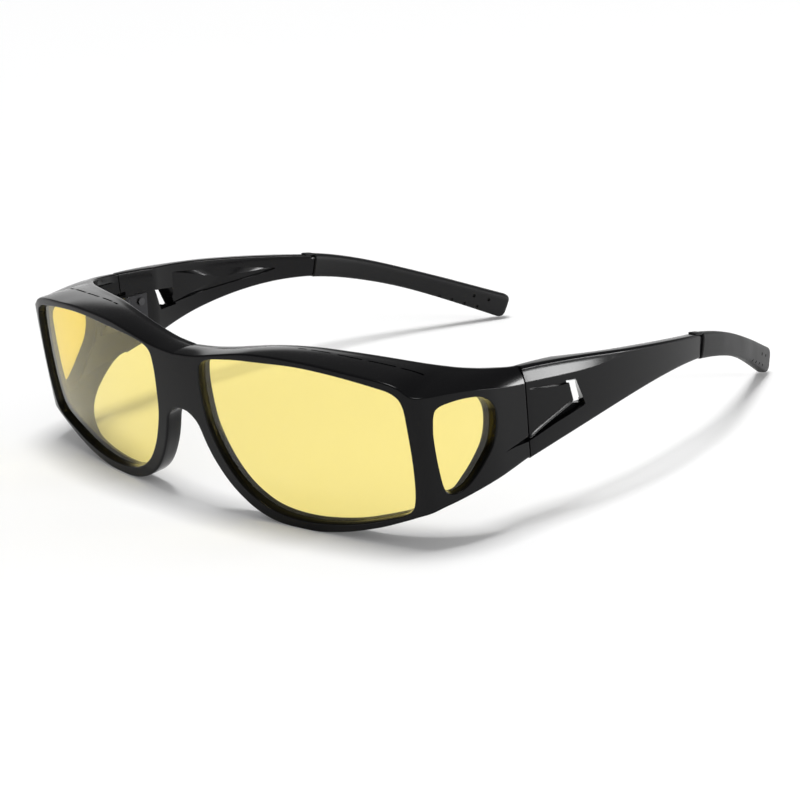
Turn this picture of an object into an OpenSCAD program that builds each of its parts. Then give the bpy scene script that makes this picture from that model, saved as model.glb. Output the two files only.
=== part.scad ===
// Night driving glasses that are worn over other glasses, resting on a table with the temples open.
// X runs across the face, the front looks along -Y, the temples run along +Y, and Z = 0 is the table.

/* [Front] */
// Outside width across the two hinges
hinge_w = 144.4; // [138:0.4:150]
// Depth from the bridge to the gap at the hinges
side_depth = 42; // [40:0.5:46]
// Radius of the front seen from above
face_r = 206; // [180:2:240]
// Lean of the front in degrees, top forwards
face_tilt = 7.6; // [6.6:0.2:8.6]
// Thickness of the front round the lenses
front_t = 4.6; // [4.2:0.1:5.4]
// Thickness of the side walls
side_t = 3.2; // [3:0.1:4]
// Outer radius of the corner between the front and a side
corner_r = 5; // [4.8:0.1:7]
// Outer radius of the side behind the corner, as a share of its depth
side_round = 0.9524; // [0.8:0.01:1.1]

/* [Brow] */
// Height of the brow at the middle of the bridge
brow_mid_z = 38.6; // [38:0.1:40]
// Height of the brow above each eye
brow_top_z = 42.4; // [42:0.1:44.5]
// Height of the brow at the hinges
brow_end_z = 38.1; // [37:0.1:39]
// Slope in degrees of the brow, rising towards the back
brow_slope = 2.6; // [1.5:0.1:3]
// Distance from the middle to where the brow reaches its height
brow_rise_x = 30; // [26:1:34]
// Depth of the brow shelf at the bridge
brow_mid_d = 7; // [6:0.25:9]
// Depth of the brow shelf at the corners
brow_end_d = 15.7; // [13:0.5:18]
// Thickness of the brow shelf
brow_t = 2; // [1.6:0.1:2.6]
// Width of the vent slits in the brow
vent_w = 0.6; // [0.4:0.1:0.8]

/* [Eye openings] */
// Distance from the middle to an eye opening
eye_in = 8.6; // [7.8:0.1:9.2]
// Width of the front across the corner, beyond an eye opening
eye_out = 8.2; // [8:0.1:10]
// Height of an eye opening along the leaning front
eye_h = 39.2; // [37.6:0.2:39.6]
// Width of the rim below an eye opening
rim_w = 2.4; // [2.2:0.1:3.2]
// Width of the rim at the lower outer corner
outer_rim_w = 2; // [1.9:0.1:2.8]
// Width of the rim beside the nose
nose_rim_w = 3.5; // [3:0.1:4]
// Height of the middle of the front above the table
face_z = 25.2; // [24.8:0.1:26]
// Height of the nose arch above the middle of the front
arch_w = -0.7; // [-2:0.1:1]

/* [Lenses] */
// Depth of the front lenses below the front's face
lens_set = 1.2; // [1:0.1:1.4]
// Thickness of the front lenses
lens_t = 1.4; // [1.2:0.1:1.6]
// Width of the lens edge that the rim holds
lens_lap = 0.8; // [0.6:0.1:1]
// Clearance round each lens in its seat
lens_gap = 0.05; // [0.03:0.01:0.1]
// Thickness of the side lenses
side_lens_t = 1.4; // [1.2:0.1:1.6]
// Width of the side lens edge round its window
side_lens_lap = 2; // [1.4:0.1:2.4]
// Distance from the corner to the front edge of a side window
window_set = 5.5; // [5.3:0.1:6.5]
// Length of the side wall behind a side window
window_back = 10.5; // [10.3:0.1:13]
// Height of the lowest point of a side window
window_z = 13.3; // [13:0.1:14.4]
// Height of a side window
window_h = 22; // [19:0.5:22.4]

/* [Hinges] */
// Radius of the hinge knuckles
knuckle_r = 1.5; // [1.4:0.05:1.8]
// Radius of the hinge screws
pin_r = 0.8; // [0.6:0.05:0.9]
// Radial clearance of a hinge screw in its knuckles
pin_gap = 0.04; // [0.02:0.01:0.08]
// Height of a hinge
hinge_h = 8.4; // [7:0.2:10]
// Height of the middle of the hinges above the table
hinge_z = 27; // [26:0.2:28]
// Length of a hinge leaf beyond the gap
leaf_l = 8; // [7.6:0.2:9]
// Thickness of a hinge leaf
leaf_t = 0.9; // [0.7:0.05:1]
// Gap between a temple and the frame
fold_gap = 0.3; // [0.25:0.05:0.6]
// Lean in degrees of that gap, top forwards
gap_lean = 4.5; // [0:0.5:5]
// Gap between neighbouring knuckles
knuckle_gap = 0.12; // [0.1:0.01:0.2]
// Radius of the small leaf screws
stud_r = 0.55; // [0.45:0.05:0.6]

/* [Temples] */
// Length of a temple from the gap to its tip
temple_l = 69.4; // [64:0.5:74]
// Height of the lower edge of a temple at the hinge
root_low_z = 15.9; // [15.3:0.1:17]
// Height of the upper edge of a temple at the tip
neck_top_z = 29.1; // [28.6:0.1:30.3]
// Height of the lower edge of a temple at the tip
neck_low_z = 22.8; // [22.2:0.1:23.4]
// How far a temple bows outwards
temple_bow = 2.9; // [2:0.1:4]
// How far a temple's tip end stands inside the hinge
temple_in = 2.4; // [1.6:0.1:3.4]
// Thickness of a temple behind its root
temple_t = 2.6; // [2.3:0.1:3]
// Depth of the recessed panels in a temple
panel_d = 0.6; // [0.3:0.05:0.8]
// Width of the slot through a temple
slot_w = 3.2; // [2.6:0.1:3.6]

/* [Tips] */
// Length of a tip
tip_l = 62.4; // [60.6:0.2:64]
// How far a tip curves inwards
tip_in = 21.4; // [18:0.2:23]
// Height of a tip at its end
tip_h = 7.6; // [7:0.1:8.2]
// Thickness of a tip at its end
tip_t = 3.6; // [3.2:0.1:4.2]
// How far a tip stands proud of the temple all round
tip_proud = 0.25; // [0.1:0.05:0.4]
// Length of the tang that holds a tip
tang_l = 14; // [10:0.5:18]
// Thickness of that tang
tang_t = 1.4; // [1.1:0.1:1.6]
// Height of that tang
tang_h = 3.6; // [3:0.1:4.2]
// Clearance between a tang and its tip
tang_gap = 0.05; // [0.03:0.01:0.1]
// Radius of the small holes in a tip
tip_hole_r = 0.6; // [0.4:0.05:0.7]
// Radius of the cord hole at the end of a tip
cord_hole_r = 0.8; // [0.6:0.05:0.9]

/* [Hidden] */
$fn = 48;

hinge_x = hinge_w / 2;
eye_w = hinge_x - eye_in - eye_out;
side_r = side_round * side_depth;
total_depth = side_depth + temple_l + tip_l;
front_y = -total_depth / 2;
face_set = (brow_mid_z - face_z) * sin(face_tilt);
far = 200;
past = hinge_w / 16;
reach = hinge_w / 5;

// Curves
function bez(p, t) = pow(1 - t, 3) * p[0] + 3 * t * pow(1 - t, 2) * p[1]
    + 3 * t * t * (1 - t) * p[2] + pow(t, 3) * p[3];
function catmull(a, b, c, d, t) = 0.5 * (2 * b + (c - a) * t + (2 * a - 5 * b + 4 * c - d) * t * t
    + (3 * b - a - 3 * c + d) * t * t * t);
function closed_curve(p, steps) = [for (i = [0:len(p) - 1], k = [0:steps - 1])
    catmull(p[(i + len(p) - 1) % len(p)], p[i], p[(i + 1) % len(p)], p[(i + 2) % len(p)], k / steps)];
function unit(v) = v / norm(v);
// Normal of a clockwise loop at point i, pointing outwards
function out_normal(p, i) = let (d = unit(p[(i + 1) % len(p)] - p[(i + len(p) - 1) % len(p)])) [-d[1], d[0]];
function grown(p, by) = [for (i = [0:len(p) - 1]) p[i] + by * out_normal(p, i)];
function mirrored(p) = [for (i = [len(p) - 1:-1:0]) [-p[i][0], p[i][1]]];

// Plan of the outer face: a flat front arc, a tight corner arc, a wide side arc, then straight to the hinge
corner_h = 62;
side_h = 90;
corner_x = (hinge_x - corner_r * sin(corner_h) - side_r * (sin(side_h) - sin(corner_h)))
    / (1 - corner_r / face_r);
face_h = asin(corner_x / face_r);
window_y = face_r * (1 - cos(face_h)) + window_set;
window_l = side_depth - window_y - window_back;
// Points along an arc that starts at a point with heading h0, moved inwards by in0 growing to in1
function arc(from, r, h0, h1, in0, in1, n) = [for (k = [1:n]) let (h = h0 + (h1 - h0) * k / n)
    from + r * [sin(h) - sin(h0), cos(h0) - cos(h)] + (in0 + (in1 - in0) * k / n) * [-sin(h), cos(h)]];
corner_start = [corner_x, face_r * (1 - cos(face_h))];
side_start = corner_start + corner_r * [sin(corner_h) - sin(face_h), cos(face_h) - cos(corner_h)];
side_end = side_start + side_r * [sin(side_h) - sin(corner_h), cos(corner_h) - cos(side_h)];
function plan_half(front_in, side_in) = concat([[0, front_in]],
    arc([0, 0], face_r, 0, face_h, front_in, front_in, 18),
    arc(corner_start, corner_r, face_h, corner_h, front_in, side_in, 8),
    arc(side_start, side_r, corner_h, side_h, side_in, side_in, 10),
    [side_end + [-side_in, side_depth]]);
// A half outline that starts at the middle, drawn from the left end to the right end
function across(half) = concat(mirrored(half), [for (i = [1:len(half) - 1]) half[i]]);
function plan_line(a, b) = across(plan_half(a, b));
function reversed(p) = [for (i = [len(p) - 1:-1:0]) p[i]];

// Outline of an eye opening as shares of its width and height, clockwise from the nose
eye_shape = [[0, 0.64], [0.012, 0.84], [0.055, 0.93], [0.18, 0.975], [0.33, 0.995], [0.52, 1], [0.7, 0.975],
    [0.87, 0.93], [0.95, 0.895], [0.985, 0.83], [0.995, 0.7], [1, 0.46], [0.99, 0.25], [0.96, 0.155],
    [0.87, 0.1], [0.68, 0.03], [0.47, 0], [0.29, 0.03], [0.165, 0.125], [0.075, 0.28], [0.013, 0.48]];
// The rim's lowest part is cut flat where it rests
rest_cut = 0.25;
low_x = eye_in + 0.47 * eye_w;
eye_low = rim_w - (face_z + rest_cut + low_x * low_x / (2 * face_r) * sin(face_tilt)) / cos(face_tilt);
eye_loop = closed_curve([for (p = eye_shape) [eye_in + eye_w * p[0], eye_low + eye_h * p[1]]], 3);

// Lower edge of the front: an arch over the nose, then a rim of its own width under the eye opening
function rim_at(x, n) = rim_w + (nose_rim_w - rim_w) * max(0, -n[0])
    + (outer_rim_w - rim_w) * min(1, max(0, (x - low_x) / (0.3 * eye_w)));
rim_first = 39;
rim_last = 60;
rim_edge = [for (i = [rim_last:-1:rim_first])
    let (n = out_normal(eye_loop, i)) eye_loop[i] + rim_at(eye_loop[i][0], n) * n];
rim_end = rim_edge[len(rim_edge) - 1];
arch_side = rim_edge[0];
arch_half = [for (k = [0:7]) [bez([0, 0.6 * arch_side[0], 0.9 * arch_side[0], arch_side[0]], k / 8),
    bez([arch_w, arch_w, arch_side[1] + 0.686 * nose_rim_w, arch_side[1]], k / 8)]];
// The lower edge of a side wall lies almost level in the leaning front's frame
side_low = (root_low_z - face_z) * cos(face_tilt) - (side_depth - face_set) * sin(face_tilt);
side_edge = concat([for (p = [[1.14, 0.5], [0.78, 0.38], [0.38, 0.26], [0.12, 0.14], [0, 0]])
    [hinge_x - p[0] * corner_r, side_low - p[1] * corner_r]], [[hinge_x + past, side_low]]);
low_edge = concat(arch_half, rim_edge, side_edge);

// Side window outline as shares of its length and height: a slanted front edge and a full round back
window_shape = [[0, 0.86], [0.002, 0.75], [0.012, 0.62], [0.07, 0.37], [0.14, 0.11], [0.2, 0.02], [0.29, 0],
    [0.42, 0.03], [0.58, 0.12], [0.78, 0.28], [0.93, 0.43], [1, 0.6], [0.985, 0.78], [0.86, 0.91],
    [0.66, 0.98],
    [0.4, 1], [0.15, 0.97], [0.05, 0.93]];
window_loop = reversed(closed_curve([for (p = window_shape)
    [window_y + window_l * p[0], window_z + window_h * p[1]]], 2));

// Height of the brow's upper surface at a distance x from the middle, before it rises to the back
brow_drop = brow_top_z - brow_end_z + side_depth * tan(brow_slope);
function brow_z(x) = x < brow_rise_x
    ? let (s = x / brow_rise_x) brow_mid_z + (brow_top_z - brow_mid_z) * s * s * (3 - 2 * s)
    : brow_top_z - brow_drop * pow((x - brow_rise_x) / (hinge_x - brow_rise_x), 2.05);
brow_line = [for (k = [0:24]) let (x = k / 24 * (hinge_x + 4)) [x, brow_z(x)]];
brow_half_w = corner_x + 2;
function shelf_y(x) = face_r - sqrt(face_r * face_r - x * x) + brow_mid_d
    + (brow_end_d - brow_mid_d) * pow(x / brow_half_w, 1.5);

// Places the leaning front in the model
module on_front() translate([0, front_y + face_set, face_z]) rotate([face_tilt, 0, 0]) children();
// Extrudes a plan along the leaning front's height
module front_plan(p) on_front() translate([0, 0, -far / 2]) linear_extrude(far) polygon(p);
// Extrudes an outline of the leaning front backwards
module front_view(p, depth) on_front() rotate([90, 0, 0]) translate([0, 0, -depth])
    linear_extrude(2 * depth) polygon(p);
// Extrudes a front view along the brow's slope, and a side view outwards from x0 to x1
module brow_view(p) translate([0, front_y, 0]) rotate([90 + brow_slope, 0, 0])
    translate([0, 0, -far]) linear_extrude(2 * far) polygon(p);
module side_view(p, x0, x1) translate([x0, front_y, 0]) rotate([90, 0, 90])
    linear_extrude(x1 - x0) polygon(p);
// Repeats a right-hand shape on the left
module both_sides() {
    children();
    mirror([1, 0, 0]) children();
}
// Puts a shape on its own side: +1 is +X, -1 is -X
module on_side(side) mirror([side < 0 ? 1 : 0, 0, 0]) children();

// Everything in front of the leaning gap at the hinges, moved back by an offset
module before_gap(offset_y) translate([0, front_y + side_depth + offset_y, hinge_z])
    rotate([gap_lean, 0, 0]) translate([-far, -2 * far, -far]) cube([2 * far, 2 * far, 2 * far]);

// Front lens sheet: a part of a cylinder, cut to an outline
module lens_sheet(depth, thick, outline) intersection() {
    on_front() translate([0, face_r, -far / 2]) difference() {
        cylinder(r = face_r - depth, h = far, $fn = 360);
        translate([0, 0, -1]) cylinder(r = face_r - depth - thick, h = far + 2, $fn = 360);
    }
    front_view(outline, reach);
}
// Side lens sheet, set into the inner face of a side wall
module side_sheet(inset, thick, outline, front_stop) intersection() {
    front_plan(concat(plan_line(inset, inset), reversed(plan_line(inset + thick, inset + thick))));
    side_view(outline, 0, far);
    on_front() translate([0, front_stop, -far / 2]) cube([far, far, far]);
}
// A side lens stops just past the leaning front edge of its window, clear of the front lens
side_lens_stop = (window_y - face_set) * cos(face_tilt)
    + (window_z + 0.8 * window_h - face_z) * sin(face_tilt) - 0.6;

// Hinge places
inner_x = hinge_x - side_t;
axis_x = inner_x - leaf_t - 0.2;
axis_y = front_y + side_depth;
hinge_low = hinge_z - hinge_h / 2;
knuckle_h = (hinge_h - 2 * knuckle_gap) / 3;
relief_r = knuckle_r + 0.3;
module at_axis() translate([axis_x, axis_y, 0]) children();
module axis_rod(r, z0, z1) at_axis() translate([0, 0, z0]) cylinder(r = r, h = z1 - z0);
// Leaf screws: two on each leaf, one above the other's height by a third of the hinge
stud_y = leaf_l * 0.72;
stud_z = hinge_h * 0.27;
stud_l = 2.2;
stud_head_r = 1.05;
stud_head_t = 0.5;
module stud_places(dir) for (s = [-1, 1])
    translate([inner_x, axis_y + dir * stud_y, hinge_z + s * stud_z]) rotate([0, 90, 0]) children();
module stud_holes(dir) stud_places(dir) translate([0, 0, -far / 2 + stud_l + 0.1])
    cylinder(r = stud_r + 0.02, h = far / 2, $fn = 24);
module knuckle_room() axis_rod(relief_r, hinge_low - 1.6, hinge_low + hinge_h + 1.6);

module front_frame() color([0.13, 0.13, 0.14]) difference() {
    intersection() {
        union() {
            front_plan(concat(plan_line(0, 0), reversed(plan_line(front_t, side_t))));
            brow_shelf();
        }
        before_gap(0);
        brow_view(concat(across(brow_line), [[hinge_x + past, -past], [-hinge_x - past, -past]]));
    }
    both_sides() {
        front_view(concat(low_edge, [[hinge_x + past, -far], [-0.01, -far], [-0.01, arch_w]]), far / 2);
        front_view(eye_loop, reach);
        lens_sheet(lens_set - lens_gap, lens_t + lens_gap, grown(eye_loop, lens_lap + lens_gap));
        side_view(window_loop, corner_x, far);
        side_sheet(side_t - side_lens_t, side_lens_t + 1,
            grown(window_loop, side_lens_lap + lens_gap), side_lens_stop - lens_gap);
        knuckle_room();
        stud_holes(-1);
        vents();
    }
    translate([-far, -far, -far]) cube([2 * far, 2 * far, far]);
}
// Brow shelf: a thin roof from the front back over the other glasses
module brow_shelf() intersection() {
    translate([0, front_y, 0]) linear_extrude(far) polygon(concat(
        [for (x = [brow_half_w:-3:-brow_half_w]) [x, face_r - sqrt(face_r * face_r - x * x) + 1]],
        [[-hinge_x + side_t / 2, side_depth / 2], [-inner_x, side_depth - side_t]],
        [for (x = [-brow_half_w:3:brow_half_w]) [x, shelf_y(abs(x))]],
        [[inner_x, side_depth - side_t], [hinge_x - side_t / 2, side_depth / 2]]));
    brow_view(concat(across(brow_line), reversed(across([for (p = brow_line) p - [0, brow_t]]))));
}
// Four narrow slits through the brow shelf
module vents() for (k = [0:3]) let (x = (0.505 + 0.11 * k) * hinge_x, l = 6 - 0.5 * k)
    translate([x, front_y + shelf_y(x) - 3 - 1.15 * k, brow_top_z - 7]) rotate([0, 0, 13 + 3.3 * k])
        translate([-l / 2, -vent_w / 2, 0]) cube([l, vent_w, 10]);

module front_lens(side) color([0.96, 0.9, 0.55, 0.5]) on_side(side)
    lens_sheet(lens_set, lens_t, grown(eye_loop, lens_lap));
module side_lens(side) color([0.96, 0.9, 0.55, 0.5]) on_side(side)
    side_sheet(side_t - side_lens_t, side_lens_t, grown(window_loop, side_lens_lap), side_lens_stop);

// Temple: its outer face is a curve in plan, and its edges are curves in side view
steps = 24;
function temple_x(t) = hinge_x + bez([0, temple_bow, temple_bow, -temple_in], t);
function temple_top(t) = brow_end_z - (brow_end_z - neck_top_z) * pow(t, 1.3);
function temple_low(t) = bez([root_low_z, root_low_z + 5, neck_low_z + 3, neck_low_z], t);
function temple_y(t) = side_depth + temple_l * t;
// The root is thick and flat inside, for the hinge, and thins to the temple's thickness behind it
root_share = (leaf_l + 4) / temple_l;
function temple_in_x(t) = t <= root_share ? inner_x
    : let (s = min(1, (t - root_share) / 0.3)) temple_x(t) - temple_t
        - (temple_x(root_share) - temple_t - inner_x) * (1 - s) * (1 - s);
module temple_body() intersection() {
    translate([0, front_y, 0]) linear_extrude(far) polygon(concat(
        [[hinge_x, side_depth - 5]],
        [for (k = [0:steps]) [temple_x(k / steps), temple_y(k / steps)]],
        [for (k = [steps:-1:0]) [temple_in_x(k / steps), temple_y(k / steps)]],
        [[inner_x, side_depth - 5]]));
    side_view(concat([[side_depth - 5, brow_end_z]],
        [for (k = [0:steps]) [temple_y(k / steps), temple_top(k / steps)]],
        [for (k = [steps:-1:0]) [temple_y(k / steps), temple_low(k / steps)]],
        [[side_depth - 5, root_low_z]]), 0, far);
}
// Slot through the temple, slanting back towards its lower end
slot_y = side_depth + 0.19 * temple_l;
slot_z = 25.5;
slot_h = 6.6;
slot_slant = 2.2;
slot_shape = [[slot_y, slot_z + slot_h], [slot_y + slot_w, slot_z + slot_h],
    [slot_y + slot_w + slot_slant, slot_z], [slot_y + slot_slant, slot_z]];
// Recessed outer panel between the hinge and the slot, and the deep wedge below it
panel_shape = [[side_depth + 1.6, slot_z + slot_h + 1.2], [slot_y, slot_z + slot_h],
    [slot_y + slot_slant, slot_z], [side_depth + 1.6, root_low_z + 5]];
// Recessed inner panel behind the slot
inner_panel = [for (k = [7:18]) [temple_y(k / steps), temple_top(k / steps) - 2.6]];
inner_panel_low = [for (k = [18:-1:7])
    [temple_y(k / steps), temple_low(k / steps) + 2.4 + 2 * (18 - k) / 11]];
function centre_x(s) = temple_x(1) - temple_t / 2 - tip_in * bez([0, 0.131, 0.607, 1], s);
neck_z = (neck_top_z + neck_low_z) / 2;
tip_end_z = tip_h / 2 - 1.2;
function centre_z(s) = bez([neck_z, neck_z - 3.9, tip_end_z + 11.4, tip_end_z], s);
function tip_y(s) = temple_y(1) + tip_l * s;
// A band along the tip's centre line: plan thickness and side-view height at each share s
module tip_band(s0, s1, half_t0, half_t1, tops, lows) intersection() {
    translate([0, front_y, 0]) linear_extrude(far) polygon(concat(
        [for (k = [0:steps]) let (s = s0 + (s1 - s0) * k / steps)
            [centre_x(s) + half_t0 + (half_t1 - half_t0) * s, tip_y(s)]],
        [for (k = [steps:-1:0]) let (s = s0 + (s1 - s0) * k / steps)
            [centre_x(s) - half_t0 - (half_t1 - half_t0) * s, tip_y(s)]]));
    side_view(concat(tops, reversed(lows)), 0, far);
}
function tang_edge(sign, grow) = [for (k = [-2:8]) let (s = k / 8 * tang_l / tip_l)
    [tip_y(s), centre_z(s) + sign * (tang_h / 2 + grow)]];
module tang(grow, past) intersection() {
    tip_band(-0.05, 1, tang_t / 2 + grow, tang_t / 2 + grow, tang_edge(1, grow), tang_edge(-1, grow));
    translate([0, front_y + temple_y(1) - past, 0]) cube([far, tang_l + past + grow, far]);
}
module temple(side) color([0.13, 0.13, 0.14]) on_side(side) difference() {
    union() {
        temple_body();
        tang(0, 1);
    }
    before_gap(fold_gap);
    knuckle_room();
    stud_holes(1);
    side_view(slot_shape, 0, far);
    difference() {
        side_view(panel_shape, 0, far);
        translate([0, front_y, 0]) linear_extrude(far) polygon(concat([[0, 0]],
            [for (k = [0:steps]) [temple_x(k / steps) - panel_d, temple_y(k / steps)]], [[0, 2 * far]]));
    }
    difference() {
        side_view(concat(inner_panel, inner_panel_low), 0, far);
        translate([0, front_y, 0]) linear_extrude(far) polygon(concat(
            [for (k = [0:steps]) [temple_in_x(k / steps) + panel_d, temple_y(k / steps)]],
            [[2 * far, temple_y(1)], [2 * far, side_depth]]));
    }
}

// Tip: full at the joint, rounded over the top at its end, and cut flat where it rests
joint_h = neck_top_z - neck_low_z + 2 * tip_proud;
function tip_half(s) = (joint_h + (tip_h - joint_h) * s) / 2;
function tip_slope(s) = let (s1 = min(1, s + 0.02))
    atan((centre_z(s1) - centre_z(s - 0.02)) / (tip_l * (s1 - s + 0.02)));
function tip_top(s) = let (r = max(0, (s - 0.84) / 0.16))
    tip_half(s) * sqrt(max(0, 1 - r * r)) / cos(tip_slope(s));
function tip_low(s) = let (r = max(0, (s - 0.94) / 0.06))
    tip_half(s) * sqrt(max(0, 1 - 0.6 * r * r)) / cos(tip_slope(s));
tip_shares = concat([for (k = [0:16]) k / 20], [for (k = [1:8]) 0.8 + 0.2 * sin(90 * k / 8)]);
module temple_tip(side) color([0.2, 0.2, 0.2]) on_side(side) difference() {
    tip_band(0, 1, temple_t / 2 + tip_proud, tip_t / 2,
        [for (s = tip_shares) [tip_y(s), centre_z(s) + tip_top(s)]],
        [for (s = tip_shares) [tip_y(s), centre_z(s) - tip_low(s)]]);
    tang(tang_gap, 2);
    tip_holes();
    translate([-far, -far, -far]) cube([2 * far, 2 * far, far]);
}
module tip_hole(s, rise, r) translate([centre_x(s), front_y + tip_y(s), centre_z(s) + rise])
    rotate([0, 0, tip_heading(s)]) rotate([0, 90, 0]) translate([0, 0, -far / 8])
        cylinder(r = r, h = far / 4, $fn = 24);
function tip_heading(s) = atan((centre_x(s - 0.02) - centre_x(s + 0.02)) / (0.04 * tip_l));
module tip_holes() {
    for (s = [0.72, 0.78, 0.84, 0.9]) tip_hole(s, -tip_half(s) * 0.3, tip_hole_r);
    for (s = [0.78, 0.87]) tip_hole(s, tip_half(s) * 0.3, tip_hole_r);
    tip_hole(0.955, -0.2, cord_hole_r);
}

// Hinge leaf: a plate on the inner face with its knuckles rolled round the hinge screw
module leaf_plate(dir) {
    y0 = dir < 0 ? axis_y - leaf_l : axis_y;
    translate([inner_x - leaf_t, y0, hinge_low]) cube([leaf_t, leaf_l, hinge_h]);
}
module hinge_frame_leaf(side) color([0.7, 0.7, 0.72]) on_side(side) difference() {
    union() {
        difference() {
            leaf_plate(-1);
            axis_rod(relief_r, hinge_low - 1, hinge_low + hinge_h + 1);
        }
        for (z = [hinge_low, hinge_low + hinge_h - knuckle_h]) frame_knuckle(z);
    }
    axis_rod(pin_r + pin_gap, hinge_low - 1, hinge_low + hinge_h + 1);
    stud_holes(-1);
}
module frame_knuckle(z) {
    axis_rod(knuckle_r, z, z + knuckle_h);
    translate([axis_x, axis_y - relief_r - 0.6, z]) cube([inner_x - axis_x, relief_r - pin_r, knuckle_h]);
}
module hinge_temple_leaf(side) color([0.7, 0.7, 0.72]) on_side(side) difference() {
    union() {
        difference() {
            leaf_plate(1);
            axis_rod(relief_r, hinge_low - 1, hinge_low + hinge_h + 1);
        }
        temple_knuckle(hinge_low + knuckle_h + knuckle_gap);
    }
    axis_rod(pin_r + pin_gap, hinge_low - 1, hinge_low + hinge_h + 1);
    stud_holes(1);
}
module temple_knuckle(z) {
    axis_rod(knuckle_r, z, z + knuckle_h);
    translate([axis_x, axis_y + pin_r + 0.6, z]) cube([inner_x - axis_x, relief_r - pin_r, knuckle_h]);
}
// Hinge screw: a plain shank through the knuckles with a slotted head on top
head_r = 1.3;
head_t = 0.7;
module hinge_screw(side) color([0.16, 0.16, 0.17]) on_side(side) difference() {
    union() {
        axis_rod(pin_r, hinge_low - 0.3, hinge_low + hinge_h);
        axis_rod(head_r, hinge_low + hinge_h, hinge_low + hinge_h + head_t);
    }
    at_axis()
      translate([-head_r - 1, -0.2, hinge_low + hinge_h + head_t / 2])
        cube([2 * head_r + 2, 0.4, head_t]);
}
module leaf_screws(side, dir) color([0.16, 0.16, 0.17]) on_side(side) stud_places(dir) {
    translate([0, 0, -leaf_t]) cylinder(r = stud_r, h = stud_l + leaf_t, $fn = 24);
    translate([0, 0, -leaf_t - stud_head_t]) cylinder(r = stud_head_r, h = stud_head_t, $fn = 24);
}

front_frame();
front_lens(1);  // front_lens_left
front_lens(-1);  // front_lens_right
side_lens(1);  // side_lens_left
side_lens(-1);  // side_lens_right
temple(1);  // temple_left
temple(-1);  // temple_right
temple_tip(1);  // temple_tip_left
temple_tip(-1);  // temple_tip_right
hinge_frame_leaf(1);  // hinge_frame_leaf_left
hinge_frame_leaf(-1);  // hinge_frame_leaf_right
hinge_temple_leaf(1);  // hinge_temple_leaf_left
hinge_temple_leaf(-1);  // hinge_temple_leaf_right
hinge_screw(1);  // hinge_screw_left
hinge_screw(-1);  // hinge_screw_right
leaf_screws(1, -1);  // frame_leaf_screws_left
leaf_screws(-1, -1);  // frame_leaf_screws_right
leaf_screws(1, 1);  // temple_leaf_screws_left
leaf_screws(-1, 1);  // temple_leaf_screws_right
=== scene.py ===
# %% [markdown]
# Night driving glasses, worn over other glasses: a glossy black front with yellow lenses, two folding temples
# with softer tips, and small metal hinges. The CAD parts are the fixed frame, and each visible piece is worked
# out here again as a smooth surface, because moulded plastic is all rounded edges and soft curves.
# Everything is worked out in millimetres, and only the last step of each piece turns it into metres.

# %% Load the frame and keep its box
import bpy
import bmesh
import numpy as np
from mathutils import Matrix, Vector


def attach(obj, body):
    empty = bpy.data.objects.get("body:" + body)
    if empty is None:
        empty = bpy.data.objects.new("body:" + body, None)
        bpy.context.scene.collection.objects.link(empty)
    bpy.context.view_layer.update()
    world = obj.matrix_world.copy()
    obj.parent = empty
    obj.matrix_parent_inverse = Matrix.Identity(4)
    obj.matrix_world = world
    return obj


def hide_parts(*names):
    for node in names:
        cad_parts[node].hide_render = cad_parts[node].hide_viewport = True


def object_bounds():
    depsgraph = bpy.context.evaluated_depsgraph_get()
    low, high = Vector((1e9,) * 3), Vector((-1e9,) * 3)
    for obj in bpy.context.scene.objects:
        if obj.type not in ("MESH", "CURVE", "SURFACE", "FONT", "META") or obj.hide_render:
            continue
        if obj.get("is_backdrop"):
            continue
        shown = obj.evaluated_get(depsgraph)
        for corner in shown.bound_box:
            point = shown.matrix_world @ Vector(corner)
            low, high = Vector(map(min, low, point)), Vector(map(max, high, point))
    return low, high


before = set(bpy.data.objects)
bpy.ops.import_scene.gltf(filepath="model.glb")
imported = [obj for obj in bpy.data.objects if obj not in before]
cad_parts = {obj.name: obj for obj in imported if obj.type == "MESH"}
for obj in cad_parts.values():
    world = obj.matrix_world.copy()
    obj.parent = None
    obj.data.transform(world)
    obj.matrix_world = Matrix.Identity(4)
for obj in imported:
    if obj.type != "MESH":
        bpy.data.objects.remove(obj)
cad_box = [list(map(float, corner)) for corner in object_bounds()]
print("CAD box:", [[round(v * 1000, 1) for v in c] for c in cad_box])

# %% [markdown]
# The plan of the front, seen from above, is one smooth line: a nearly flat arc across the face, a tight corner,
# a wide side arc and a straight run to the hinge. The front then leans forwards by a few degrees.
# A point of the outer face is given by s, the distance along that line from the middle, and w, the height
# along the leaning front. Working in (s, w) lets one flat outline wrap round face and side alike.

# %% The plan line and the leaning front
HINGE_X, SIDE_DEPTH = 72.2, 42.0
FACE_R, CORNER_R, SIDE_R = 206.0, 5.0, 40.0
CORNER_HEADING, SIDE_HEADING = np.radians(62), np.radians(90)
LEAN, GAP_LEAN = np.radians(7.6), np.radians(4.5)
FRONT_Y, FACE_Z, HINGE_Z = -86.9, 25.2, 27.0
BROW_MID_Z, BROW_END_Z = 38.6, 38.1
FACE_SET = (BROW_MID_Z - FACE_Z) * np.sin(LEAN)
FACE_SHARE = 1 - CORNER_R / FACE_R
CORNER_X = (HINGE_X - CORNER_R * np.sin(CORNER_HEADING) - SIDE_R * (1 - np.sin(CORNER_HEADING))) / FACE_SHARE
FACE_HEADING = np.arcsin(CORNER_X / FACE_R)
FACE_STEPS, ARC_STEPS, STRAIGHT = 400, 160, 60


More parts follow.
